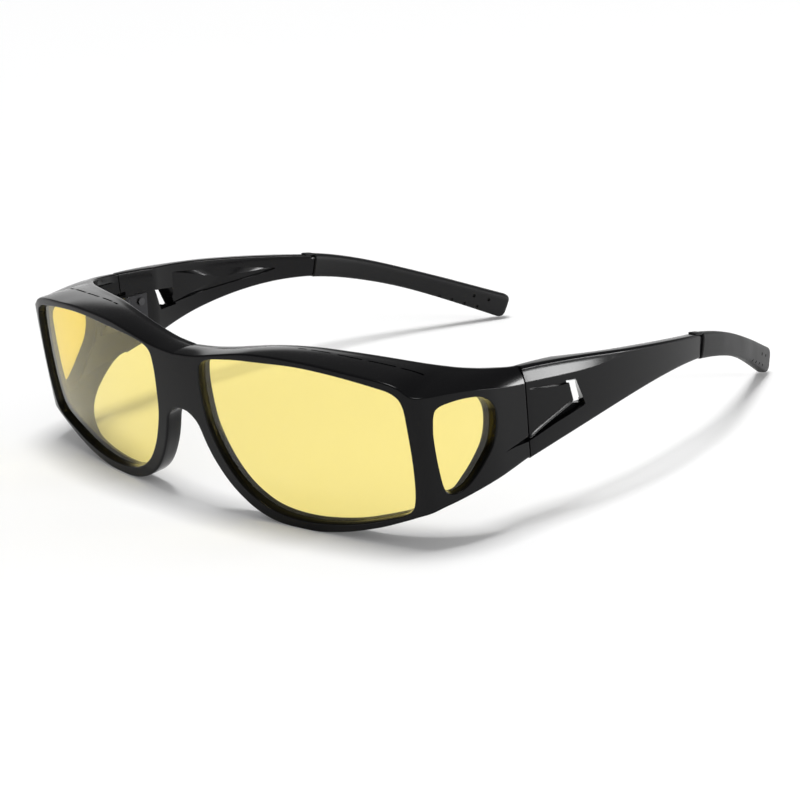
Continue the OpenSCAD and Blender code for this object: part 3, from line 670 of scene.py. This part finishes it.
def sheet_parts(loop, depth, thick):
    """A closed curved sheet: rings from the middle out to the edge in front, the edge, and rings back to the middle
    behind."""
    middle = (loop.max(0) + loop.min(0)) / 2
    shares = np.array([0, .15, .3, .45, .6, .72, .83, .92, .97, 1.0])
    face = np.stack([middle + (loop - middle) * f for f in shares])
    edge = np.stack([loop] * 3)
    front_rows = wall(face[..., 0], face[..., 1], np.full(face.shape[:-1], depth))
    edge_rows = wall(edge[..., 0], edge[..., 1], depth + thick * np.array([.25, .5, .75])[:, None])
    back_rows = wall(face[::-1, :, 0], face[::-1, :, 1], np.full(face.shape[:-1], depth + thick))
    return [grid(np.concatenate([front_rows, edge_rows, back_rows]), True)]


LENS_T = 1.4
lenses = {}
for kind, loop, lap, depth in (("front_lens", EYE, 0.7, 1.2), ("side_lens", WINDOW, 1.7, 1.35)):
    parts = sheet_parts(grown(loop, lap), depth, LENS_T)
    for side, turn in SIDES:
        lens = lenses[kind + "_" + side] = solid(kind + "_" + side + "_sheet", turn(parts))
        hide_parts(kind + "_" + side)
        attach(lens, "front")

# %% [markdown]
# A temple is a section carried along a path. Seen from above its outer face is a slow curve, and from the side
# it narrows to the tip. Near the hinge the face has a shoulder: above a crease it leans inwards, and that facet
# catches the light. The section is one closed outline whose points move with the share t along the temple.

# %% The temple's curves
TEMPLE_L, ROOT_LOW_Z, NECK_TOP_Z, NECK_LOW_Z = 69.4, 15.9, 29.1, 22.8
TEMPLE_T, FOLD_GAP, LEAF_L = 2.6, 0.3, 8.0
ROOT_SHARE = (LEAF_L + 4) / TEMPLE_L
INNER_X = HINGE_X - SIDE_T
TOP_R, FOOT_R, INNER_R = .8, .6, .4
CREASE_DROP, SHOULDER_IN = 1.3, 0.95


def bezier(p, t):
    """A cubic Bezier curve: each of four values weighted by its share at t."""
    return (1 - t) ** 3 * p[0] + 3 * t * (1 - t) ** 2 * p[1] + 3 * t * t * (1 - t) * p[2] + t ** 3 * p[3]


def temple_x(t):
    """The temple's outer face in plan, bowing outwards and coming back inside the hinge."""
    return HINGE_X + bezier([0, 2.9, 2.9, -2.4], t)


def temple_in_x(t):
    """The temple's inner face: flat over the hinge leaf, then eased to the temple's thickness."""
    step = np.clip((t - ROOT_SHARE) / 0.3, 0, 1)
    root = temple_x(ROOT_SHARE) - TEMPLE_T - INNER_X
    return np.where(t <= ROOT_SHARE, INNER_X, temple_x(t) - TEMPLE_T - root * (1 - step) ** 2)


def temple_top(t):
    """Upper edge: a fall that starts slowly."""
    return BROW_END_Z - (BROW_END_Z - NECK_TOP_Z) * t ** 1.3


def temple_low(t):
    """Lower edge: a rise from the hinge that levels off."""
    return bezier([ROOT_LOW_Z, ROOT_LOW_Z + 5, NECK_LOW_Z + 3, NECK_LOW_Z], t)


def crease_z(t):
    """Height of the shoulder's crease, which runs out into the top edge half way along."""
    y = SIDE_DEPTH + TEMPLE_L * t
    return np.interp(y, [42, 47.7, 52.5, 57.5, 62.6, 66.2, 70, 74, 78],
                     [34.4, 34.0, 33.6, 33.25, 33.0, 33.0, 33.15, 33.35, 33.5])


def corner_arc(x, z, radius, start, count=6):
    """A quarter circle of section points round a corner's centre, by angle from start."""
    a = np.radians(np.linspace(start, start - 90, count))
    return x[:, None] + radius * np.cos(a), z[:, None] + radius * np.sin(a)


def temple_section(t):
    """Rows of section points (x, z) for shares t: over the top, down the shoulder and the face, under, and up the
    inside."""
    x_out, x_in, top, low = temple_x(t), temple_in_x(t), temple_top(t), temple_low(t)
    crease = np.minimum(crease_z(t), top - CREASE_DROP)
    lean = SHOULDER_IN * np.clip((top - CREASE_DROP - crease) / 2.7, 0, 1) ** 1.1
    x_of, z_of = [], []

    def add(x, z):
        """One column, or several side by side."""
        x_of.append(x.reshape(len(t), -1))
        z_of.append(z.reshape(len(t), -1))

    add(*corner_arc(x_in + INNER_R, top - INNER_R, INNER_R, 180, 5))
    add(*corner_arc(x_out - lean - TOP_R, top - TOP_R, TOP_R, 90, 8))
    for f in (.25, .5, .75, .9, .97):
        add(x_out - lean * (1 - f), top - TOP_R + (crease - top + TOP_R) * f)
    add(x_out - .012 * (lean > 0), crease)
    for f in (.02, .07, .2, .4, .6, .8):
        add(x_out, crease + (low + FOOT_R - crease) * f)
    add(*corner_arc(x_out - FOOT_R, low + FOOT_R, FOOT_R, 0, 7))
    add(*corner_arc(x_in + INNER_R, low + INNER_R, INNER_R, 270, 5))
    for f in (.2, .4, .6, .8):
        add(x_in, low + INNER_R + (top - low - 2 * INNER_R) * f)
    return np.concatenate(x_of, 1), np.concatenate(z_of, 1)


def temple_grid():
    """The temple as rows along its length; the first rows slant with the gap at the hinge."""
    t = np.concatenate([[0, .004, .01, .02, .035, .05, .07, .09, .11, .13, .15, ROOT_SHARE],
                        np.linspace(.19, .985, 52), [.993, .998, 1.0]])
    x, z = temple_section(t)
    slant = -(z - HINGE_Z) * np.tan(GAP_LEAN) * np.clip(1 - t / .15, 0, 1)[:, None]
    y = FRONT_Y + SIDE_DEPTH + (TEMPLE_L * t)[:, None] + slant + FOLD_GAP * np.clip(1 - t / .02, 0, 1)[:, None]
    return np.stack([x, y, z], -1)


print("temple section:", temple_section(np.array([0.0, 0.5]))[0].shape[1], "points")

# %% [markdown]
# Behind the hinge the temple's face has a sunken field. A raised island fills most of it, which leaves a fine
# groove above, a deep black wedge below, and a slanting slot right through at its end. On the inside a long
# shallow panel is sunk behind the slot. Each is carved with a prism whose floor follows the curved face.

# %% Carve the temples
def share_of(y):
    """Share along the temple of a distance y from the bridge."""
    return np.clip((y - SIDE_DEPTH) / TEMPLE_L, 0, 1)


def refined(outline, steps=6):
    """More points along the straight sides of a closed outline."""
    p = np.asarray(outline, float)
    q = np.roll(p, -1, 0)
    k = (np.arange(steps) / steps)[None, :, None]
    return (p[:, None] + (q - p)[:, None] * k).reshape(-1, 2)


def prism(near, far_outline, near_x, far_x):
    """A closed prism between two outlines (y, z), each lying at its own x over the temple: middle, outline, outline,
    middle."""
    rows = []
    for outline, x_of, flat in ((near, near_x, True), (near, near_x, False), (far_outline, far_x, False),
                                (far_outline, far_x, True)):
        p = refined(outline)
        yz = np.tile(p.mean(0), (len(p), 1)) if flat else p
        rows.append(np.column_stack([x_of(share_of(yz[:, 0])), yz[:, 0] + FRONT_Y, yz[:, 1]]))
    return grid(np.stack(rows), True)


def outside(t):
    """Well outside the temple's face."""
    return temple_x(t) + PAST_FACE


def sunk(depth):
    """A floor at a depth below the temple's outer face."""
    return lambda t: temple_x(t) - depth


ISLAND_LOW = [(42.6, 21.1), (44.5, 22.15), (46.2, 22.9), (49.4, 24.15), (52.7, 25.35), (55.3, 26.3), (56.5, 26.6)]
GROOVE = [(42.9, 33.4), (56.0, 32.1), (56.2, 31.3), (53.2, 31.2), (42.9, 32.5)]
WEDGE = [(42.7, 21.25), (56.3, 26.4), (57.3, 26.9), (60.6, 25.2), (60.6, 24.6), (51.0, 22.6), (42.7, 20.3)]
SLOT_OUT = [(55.2, 31.85), (57.7, 31.65), (61.1, 24.7), (56.9, 26.36)]
SLOT_IN = [(53.8, 31.0), (61.1, 29.95), (62.3, 24.84), (55.9, 25.0)]


def inner_panel():
    """The long sunken panel on the inside: a top line along the temple's edge and a lower one nearly level, meeting
    in a point."""
    y = np.linspace(61.5, 99, 12)
    top = np.column_stack([y, np.interp(y, [61.5, 86.8, 99], [34.1, 30.1, 27.6])])
    low = np.column_stack([y, np.interp(y, [61.5, 74, 95, 99], [25.4, 26.0, 26.6, 27.3])])[::-1]
    return np.concatenate([top, low])


GROOVE_DEEP, WEDGE_DEEP, PANEL_DEEP, SLOT_PAST = .6, 1.5, .6, .4


def carvings():
    """Every cut in the right temple as closed prisms. The slot's two outlines lie on the faces, so they are carried
    on a little past them."""
    slot_in, slot_out = np.array(SLOT_IN), np.array(SLOT_OUT)
    beyond = (slot_out - slot_in) * SLOT_PAST / TEMPLE_T
    return {"groove": prism(GROOVE, GROOVE, sunk(GROOVE_DEEP), outside),
            "wedge": prism(WEDGE, WEDGE, sunk(WEDGE_DEEP), outside),
            "slot": prism(slot_in - beyond, slot_out + beyond, lambda t: temple_in_x(t) - SLOT_PAST,
                          sunk(-SLOT_PAST)),
            "panel": prism(inner_panel(), inner_panel(), lambda t: temple_in_x(t) - PAST_FACE,
                           lambda t: temple_in_x(t) + PANEL_DEEP)}


EDGE_TURN, EDGE_WIDE, EDGE_THICK = np.radians(68), .36, .3


def island_edge():
    """The lip along the island's lower edge: a bar, |a|^6 + |b|^6 = 1, along a curve on the temple's face, with a
    flat face turned well upwards. It catches the light from above, which gives that edge its bright line."""
    line = open_curve(ISLAND_LOW, 10)
    path = np.column_stack([temple_x(share_of(line[:, 0])), line[:, 0] + FRONT_Y, line[:, 1]])
    along = np.gradient(path, axis=0)
    along /= np.linalg.norm(along, axis=1)[:, None]
    out = np.array([np.cos(EDGE_TURN), 0, np.sin(EDGE_TURN)])
    up = np.cross(along, out)
    up /= np.linalg.norm(up, axis=1)[:, None]
    size = np.clip(1 - np.abs(np.linspace(-1, 1, len(path))) ** 12, 0, 1) ** .5 + .01
    u, v = round_ring(24, 1 / 3)
    return grid(path[:, None] + (EDGE_WIDE * size[:, None] * u)[..., None] * up[:, None]
                + (EDGE_THICK * size[:, None] * v)[..., None] * out, True)


temples, beads = {}, {}
for side, turn in SIDES:
    arm = temples[side] = solid("arm_" + side + "_temple", turn([grid(temple_grid(), True)]), fill=True)
    for name, part in carvings().items():
        cut(arm, turn([part]), name)
    cut(arm, turn([knuckle_cut()]), "knuckle_room")
    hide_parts("temple_" + side)
    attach(arm, "arm_" + side)
    print(arm.name, "after carving:", len(arm.data.polygons), "faces")
    bead = beads[side] = solid("arm_" + side + "_island_edge", turn([island_edge()]), fill=True)
    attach(bead, "arm_" + side)

# %% [markdown]
# The tips are of a softer matt plastic, moulded over the temple's end and standing a little proud of it. Each is
# a rounded section carried along a curve that bends down and inwards behind the ear. Its top rolls over at the
# end, it lies flat where it rests, and small holes are pierced near the end.

# %% The tips
TIP_IN, TIP_H, TIP_T, TIP_PROUD, TIP_RUN = 21.4, 7.6, 3.6, 0.25, 61.4
RING = 1.3 / TIP_RUN
NECK_Z = (NECK_TOP_Z + NECK_LOW_Z) / 2
JOINT_H = NECK_TOP_Z - NECK_LOW_Z + 2 * TIP_PROUD


def tip_centre(s):
    """The tip's centre line: a Bezier inwards in plan and a Bezier down in side view, at an even pace along y."""
    x = temple_x(1.0) - TEMPLE_T / 2 - TIP_IN * bezier([0, .131, .607, 1], s)
    z = bezier([NECK_Z, 22.4, 12.3, 3.1], s)
    return np.stack([x, FRONT_Y + SIDE_DEPTH + TEMPLE_L + TIP_RUN * s, z], -1)


def tip_axes(s):
    """At each share, the direction along the tip, the level direction across it, and the one at right angles to
    both."""
    along = tip_centre(s + .01) - tip_centre(s - .01)
    along /= np.linalg.norm(along, axis=-1)[:, None]
    across = np.stack([along[:, 1], -along[:, 0], np.zeros(len(s))], -1)
    across /= np.linalg.norm(across, axis=-1)[:, None]
    return along, across, np.cross(across, along)


SLIM = open_curve([(0, 1, 1), (.25, .915, .84), (.5, .86, .72), (.75, .93, .77), (1, 1.03, .88)], 12)


def tip_halves(s):
    """Half height upwards, half height downwards and half thickness. The tip is slimmer in its middle, and its end is
    square with round corners: r (1 - sqrt(1 - q²)) is taken off over the last few hundredths."""
    half = (JOINT_H + (TIP_H - JOINT_H) * s) / 2
    corner = lambda start, r: r * (1 - np.sqrt(np.clip(1 - np.clip((s - start) / (1 - start), 0, 1) ** 2, 0, 1)))
    up = half * np.interp(s, SLIM[:, 0], SLIM[:, 1]) - corner(.973, 1.7)
    down = half * np.interp(s, SLIM[:, 0], SLIM[:, 2]) - corner(.967, 2.1)
    thick = TEMPLE_T / 2 + TIP_PROUD + (TIP_T / 2 - TEMPLE_T / 2 - TIP_PROUD) * s - corner(.982, 1.2)
    collar = TIP_PROUD * .8 * np.clip(1 - (s - RING) / .004, 0, 1)
    return up - collar, down - collar, thick - collar


def carried(s, halves):
    """A rounded rectangle carried along the centre line: |a|^4 + |b|^4 = 1, flattened where it would pass below the
    table."""
    u, v = round_ring(48, .5)
    centre, (_, across, upward), (up, down, thick) = tip_centre(s), tip_axes(s), halves(s)
    rise = np.where(v > 0, up[:, None], down[:, None]) * v
    points = centre[:, None] + across[:, None] * (thick[:, None] * u)[..., None] + upward[:, None] * rise[..., None]
    points[..., 2] = np.maximum(points[..., 2], 0.0)
    return points


def tip_grid():
    """The tip, from just behind the ring to its rounded end."""
    return carried(np.concatenate([RING + np.array([0, .0015, .004, .01]), np.linspace(.05, .955, 50),
                                   1 - .04 * np.cos(np.radians(np.linspace(10, 90, 16)))]), tip_halves)


def ring_halves(s):
    """The ring stays .3 mm below the temple's faces, and closes to nothing inside both neighbours."""
    open_ = np.minimum(1, 4000 * (s + .0085) * (.0305 - s)) ** .5
    half = (JOINT_H / 2 - TIP_PROUD - .35) * open_
    return half, half, (TEMPLE_T / 2 - .3) * open_


def hook_grid():
    """The tip's small tongue forward over the temple's top, a flattened ellipsoid: |a|^3 + |b|^3 = 1 in section,
    |c|^4 along."""
    c = np.sin(np.radians(np.linspace(-89.5, 89.5, 24)))
    u, v = round_ring(28, 2 / 3)
    size = (1 - np.abs(c) ** 4) ** .25
    along = -.1 + 1.8 * c
    x = temple_x(1.0) - TEMPLE_T / 2 - .02 * along
    y, z = FRONT_Y + SIDE_DEPTH + TEMPLE_L + along, NECK_TOP_Z + .08 - .169 * along
    return np.stack([x[:, None] + 1.3 * size[:, None] * u, np.tile(y[:, None], (1, len(u))),
                     z[:, None] + .36 * size[:, None] * v], -1)


def pin_through(s, rise, radius):
    """A closed cylinder straight through the tip at share s, a little above or below the centre line."""
    share = np.array([s])
    _, across, upward = tip_axes(share)
    middle = tip_centre(share)[0] + upward[0] * rise
    u, v = round_ring(20)
    circle = u[:, None] * upward[0] + v[:, None] * np.cross(across[0], upward[0])
    rows = [middle + across[0] * x + r * circle for x, r in ((-4, 0), (-4, radius), (4, radius), (4, 0))]
    return grid(np.stack(rows), True)


HOLES = [(.676, -2.2, .42), (.736, -2.15, .42), (.797, -2.1, .42), (.859, -2.0, .42), (.828, .75, .5), (.9, .9, .5)]
tips, rings_at, hooks = {}, {}, {}
for side, turn in SIDES:
    tip = tips[side] = solid("tip_" + side, turn([grid(tip_grid(), True)]), fill=True, sharp=50)
    ring_at = rings_at[side] = solid("tip_ring_" + side,
                                     turn([grid(carried(np.linspace(-.008, .03, 15), ring_halves), True)]), fill=True)
    hook = hooks[side] = solid("tip_hook_" + side, turn([grid(hook_grid(), True)]), fill=True)
    for piece, finish in ((ring_at, "frame"), (hook, "tip")):
        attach(piece, "arm_" + side)
    cut(tip, turn([pin_through(*hole) for hole in HOLES]), "holes")
    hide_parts("temple_tip_" + side)
    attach(tip, "arm_" + side)
    print(tip.name, "after piercing:", len(tip.data.polygons), "faces")

# %% [markdown]
# The plastics are dark, so almost all that is seen of them is reflected light. The gloss black has a low
# roughness that varies a little, and a very fine waviness like that of moulded parts. The tips are rougher and
# have a fine grain. The skirt is satin, and the island's lip reflects a little more than the rest. The lenses are
# clear and yellow, and let the light's shadow rays through, so that the table behind them isn't black.

# %% Helpers: nodes, links and inputs
def new_nodes(tree, *kinds):
    """New shader nodes of the given kinds."""
    return [tree.nodes.new("ShaderNode" + kind) for kind in kinds]


def wire(tree, *links):
    """Joins nodes, each link given as (node, its output, node, its input)."""
    for source, output, target, label in links:
        tree.links.new(source.outputs[output], target.inputs[label])


def put(node, values):
    """Sets inputs of a node by their labels."""
    for label, value in values.items():
        node.inputs[label].default_value = value


def new_material(name):
    """A node material, with its tree and its Principled shader."""
    material = bpy.data.materials.new(name)
    material.use_nodes = True
    return material, material.node_tree, material.node_tree.nodes["Principled BSDF"]


# %% Shared shader group: fine grain
def moulded_group():
    """Noise at two scales on Object coordinates: a coarse mask for shade and roughness, and a fine height for
    bump."""
    group = bpy.data.node_groups.new("moulded surface", "ShaderNodeTree")
    for label, value in (("Coarse", 60.0), ("Fine", 900.0), ("Rough low", .1), ("Rough high", .16)):
        group.interface.new_socket(name=label, in_out="INPUT", socket_type="NodeSocketFloat").default_value = value
    for label in ("Roughness", "Height", "Mask"):
        group.interface.new_socket(name=label, in_out="OUTPUT", socket_type="NodeSocketFloat")
    given, out = group.nodes.new("NodeGroupInput"), group.nodes.new("NodeGroupOutput")
    place, coarse, fine, rough_map = new_nodes(group, "TexCoord", "TexNoise", "TexNoise", "MapRange")
    put(coarse, {"Detail": 3})
    put(fine, {"Detail": 4})
    put(rough_map, {"From Min": .3, "From Max": .7})
    wire(group, (place, "Object", coarse, "Vector"), (place, "Object", fine, "Vector"),
         (given, "Coarse", coarse, "Scale"), (given, "Fine", fine, "Scale"),
         (given, "Rough low", rough_map, "To Min"), (given, "Rough high", rough_map, "To Max"),
         (coarse, "Fac", rough_map, "Value"), (rough_map, "Result", out, "Roughness"),
         (fine, "Fac", out, "Height"), (coarse, "Fac", out, "Mask"))
    return group


MOULDED = moulded_group()


def plastic(name, dark, light, rough, coarse, fine, bump, specular):
    """A moulded plastic: two close shades mixed by a coarse mask, varied roughness, and a fine bump."""
    material, tree, shader = new_material(name)
    surface, mix, height = new_nodes(tree, "Group", "Mix", "Bump")
    surface.node_tree = MOULDED
    put(surface, {"Coarse": coarse, "Fine": fine, "Rough low": rough[0], "Rough high": rough[1]})
    # a colour mix has its A and B at inputs 6 and 7, and its result at output 2
    mix.data_type = "RGBA"
    mix.inputs[6].default_value, mix.inputs[7].default_value = (*dark, 1), (*light, 1)
    put(height, {"Strength": bump[0], "Distance": bump[1]})
    wire(tree, (surface, "Mask", mix, 0), (mix, 2, shader, "Base Color"), (surface, "Roughness", shader, "Roughness"),
         (surface, "Height", height, "Height"), (height, "Normal", shader, "Normal"))
    shader.inputs["Specular IOR Level"].default_value = specular
    return material


BLACK, NEAR_BLACK = (.004, .004, .0045), (.006, .006, .0065)
SOFT_DARK, SOFT_LIGHT = (.009, .009, .0095), (.013, .013, .0135)
gloss_black = plastic("gloss_black_plastic", BLACK, NEAR_BLACK, (.12, .18), 45, 700, (.03, .0001), .15)
matt_tip = plastic("matt_soft_plastic", SOFT_DARK, SOFT_LIGHT, (.4, .5), 70, 2600, (.25, .00006), .15)
satin_black = plastic("satin_black_plastic", BLACK, (.007, .007, .0075), (.38, .46), 45, 1500, (.1, .00006), .2)
edge_black = plastic("edge_black_plastic", BLACK, NEAR_BLACK, (.28, .34), 45, 1500, (.05, .00006), .5)
print("plastics:", gloss_black.name, matt_tip.name, satin_black.name, edge_black.name)

# %% Metal of the hinges and screws
def metal(name, colour, rough):
    """A plated metal: slightly varied roughness, and fine lines of grinding along the height as a stretched noise."""
    material, tree, shader = new_material(name)
    place, stretch, lines, rough_map, height = new_nodes(tree, "TexCoord", "Mapping", "TexNoise", "MapRange", "Bump")
    put(stretch, {"Scale": (4000, 4000, 300)})
    put(lines, {"Scale": 1.0})
    put(rough_map, {"To Min": rough[0], "To Max": rough[1]})
    put(height, {"Strength": .2, "Distance": .00002})
    wire(tree, (place, "Object", stretch, "Vector"), (stretch, "Vector", lines, "Vector"),
         (lines, "Fac", rough_map, "Value"), (rough_map, "Result", shader, "Roughness"),
         (lines, "Fac", height, "Height"), (height, "Normal", shader, "Normal"))
    shader.inputs["Base Color"].default_value = (*colour, 1)
    shader.inputs["Metallic"].default_value = 1.0
    return material


leaf_metal = metal("plated_hinge_metal", (.035, .035, .037), (.25, .42))
screw_metal = metal("plated_screw_metal", (.05, .05, .052), (.35, .5))

# %% Clear yellow lens
def lens_material():
    """A clear yellow plastic: full transmission with a tint, and for shadow rays a plain tinted see-through."""
    material, tree, shader = new_material("clear_yellow_lens")
    shader.inputs["Base Color"].default_value = (.945, .80, .265, 1)
    shader.inputs["Roughness"].default_value = 0.0
    shader.inputs["IOR"].default_value = 1.45
    shader.inputs["Transmission Weight"].default_value = 1.0
    path, clear, mix = new_nodes(tree, "LightPath", "BsdfTransparent", "MixShader")
    place, noise, height = new_nodes(tree, "TexCoord", "TexNoise", "Bump")
    put(clear, {"Color": (.96, .92, .72, 1)})
    put(noise, {"Scale": 25})
    put(height, {"Strength": .02, "Distance": .0001})
    wire(tree, (place, "Object", noise, "Vector"), (noise, "Fac", height, "Height"),
         (height, "Normal", shader, "Normal"), (path, "Is Shadow Ray", mix, 0), (shader, 0, mix, 1),
         (clear, 0, mix, 2), (mix, 0, tree.nodes["Material Output"], "Surface"))
    return material


clear_yellow = lens_material()

# %% Give every piece its material
def dress(obj, material):
    """Gives an object one material in place of what it has."""
    obj.data.materials.clear()
    obj.data.materials.append(material)


looks = ((gloss_black, (front, *temples.values(), *rings_at.values())), (edge_black, beads.values()),
         (matt_tip, (*tips.values(), *hooks.values())), (satin_black, (skirt,)), (clear_yellow, lenses.values()))
for material, pieces in looks:
    for piece in pieces:
        dress(piece, material)
for name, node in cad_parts.items():
    dress(node, screw_metal if "screw" in name else leaf_metal if "hinge" in name else gloss_black)
print("materials on", len(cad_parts), "CAD nodes and", sum(len(pieces) for _, pieces in looks), "pieces")

# %% [markdown]
# The photo is a plain studio shot on white. The floor stays white in the picture by a glow that only the camera,
# reflections and light through the lenses see, so it adds no light to the object and still shows its shadow. The
# world is white as well up to a little above the horizon, and darker higher up, as in a studio with a dim ceiling:
# glossy black plastic shows what it reflects, and the photo's brow and temples are nearly black from above.

# %% Floor and world
FLOOR_REACH, FLOOR_GLOW = 1.6, 0.05
WORLD_FILL, HORIZON_LOW, HORIZON_HIGH, CEILING = .36, .17, .29, .12


def only_seen(tree):
    """A node that gives 1 for camera, glossy and transmission rays, and 0 for the rays that light things."""
    path, first, second = new_nodes(tree, "LightPath", "Math", "Math")
    first.operation = second.operation = "MAXIMUM"
    wire(tree, (path, "Is Camera Ray", first, 0), (path, "Is Glossy Ray", first, 1), (first, 0, second, 0),
         (path, "Is Transmission Ray", second, 1))
    return second


def floor_material():
    """A pale matt floor, plus the glow that brings the lit floor to white."""
    material, tree, shader = new_material("white_floor")
    shader.inputs["Base Color"].default_value = (.9, .9, .9, 1)
    shader.inputs["Roughness"].default_value = 1.0
    shader.inputs["Specular IOR Level"].default_value = 0.0
    glow, times, both = new_nodes(tree, "Emission", "Math", "AddShader")
    times.operation = "MULTIPLY"
    times.inputs[1].default_value = FLOOR_GLOW
    wire(tree, (only_seen(tree), 0, times, 0), (times, 0, glow, "Strength"), (shader, 0, both, 0),
         (glow, 0, both, 1), (both, 0, tree.nodes["Material Output"], "Surface"))
    return material


floor_mesh = bpy.data.meshes.new("floor")
floor_corners = [(x * FLOOR_REACH, y * FLOOR_REACH, 0) for x, y in ((-1, -1), (1, -1), (1, 1), (-1, 1))]
floor_mesh.from_pydata(floor_corners, [], [(0, 1, 2, 3)])
floor = bpy.data.objects.new("floor", floor_mesh)
bpy.context.scene.collection.objects.link(floor)
floor_mesh.materials.append(floor_material())
floor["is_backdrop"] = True

world = bpy.data.worlds.new("studio")
bpy.context.scene.world = world
world.use_nodes = True
tree = world.node_tree
sky = tree.nodes["Background"]
level, place, split, high = new_nodes(tree, "MapRange", "TexCoord", "SeparateXYZ", "MapRange")
high.interpolation_type = "SMOOTHSTEP"
put(sky, {"Color": (1, 1, 1, 1)})
put(level, {"To Min": WORLD_FILL})
put(high, {"From Min": HORIZON_LOW, "From Max": HORIZON_HIGH, "To Min": 1.0, "To Max": CEILING})
wire(tree, (place, "Generated", split, 0), (split, "Z", high, "Value"), (high, "Result", level, "To Max"),
     (only_seen(tree), 0, level, "Value"), (level, "Result", sky, "Strength"))
print("floor and world ready")

# %% [markdown]
# A large soft lamp from above gives the soft shadow below the front, and a strip behind the near side gives the
# long light along the temple's shoulder. The camera stands in front, on the wearer's left, a little above.

# %% Lamps
def lamp(name, place, target, size, power):
    """A soft square or oblong lamp, aimed at a point."""
    data = bpy.data.lights.new(name, "AREA")
    data.shape, data.size, data.size_y, data.energy = "RECTANGLE", size[0], size[1], power
    made = bpy.data.objects.new(name, data)
    made.location = place
    direction = np.array(target) - np.array(place)
    made.rotation_mode = "QUATERNION"
    made.rotation_quaternion = Vector(direction).to_track_quat("-Z", "Y")
    bpy.context.scene.collection.objects.link(made)
    return made


lamp("soft_top", (0, 0, 8), (0, 0, 0), (2.8, 2.8), 456)
lamp("strip_side", (.5, .39, .1), (.072, -.02, .035), (.28, .06), 1.8)

# %% Camera
RIGHT, UP, VIEW = (.729751, .682933, -.032645), (-.185760, .243992, .951820), (-.657995, .688528, -.304914)
CAMERA_AT, FOCAL, SENSOR = (.393162, -.422386, .189663), 103.21, 36.0
camera_data = bpy.data.cameras.new("camera")
camera_data.lens, camera_data.sensor_width = FOCAL, SENSOR
camera_data.clip_start, camera_data.clip_end = .05, 50
camera = bpy.data.objects.new("camera", camera_data)
camera.matrix_world = Matrix([[RIGHT[k], UP[k], -VIEW[k], CAMERA_AT[k]] for k in range(3)] + [[0, 0, 0, 1]])
bpy.context.scene.collection.objects.link(camera)
bpy.context.scene.camera = camera
bpy.context.scene.view_settings.view_transform = "Standard"

# %% Print the visual box and finish
bpy.context.view_layer.update()
made_box = [list(map(float, corner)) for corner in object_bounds()]
print("visual box:", [[round(v * 1000, 1) for v in c] for c in made_box])
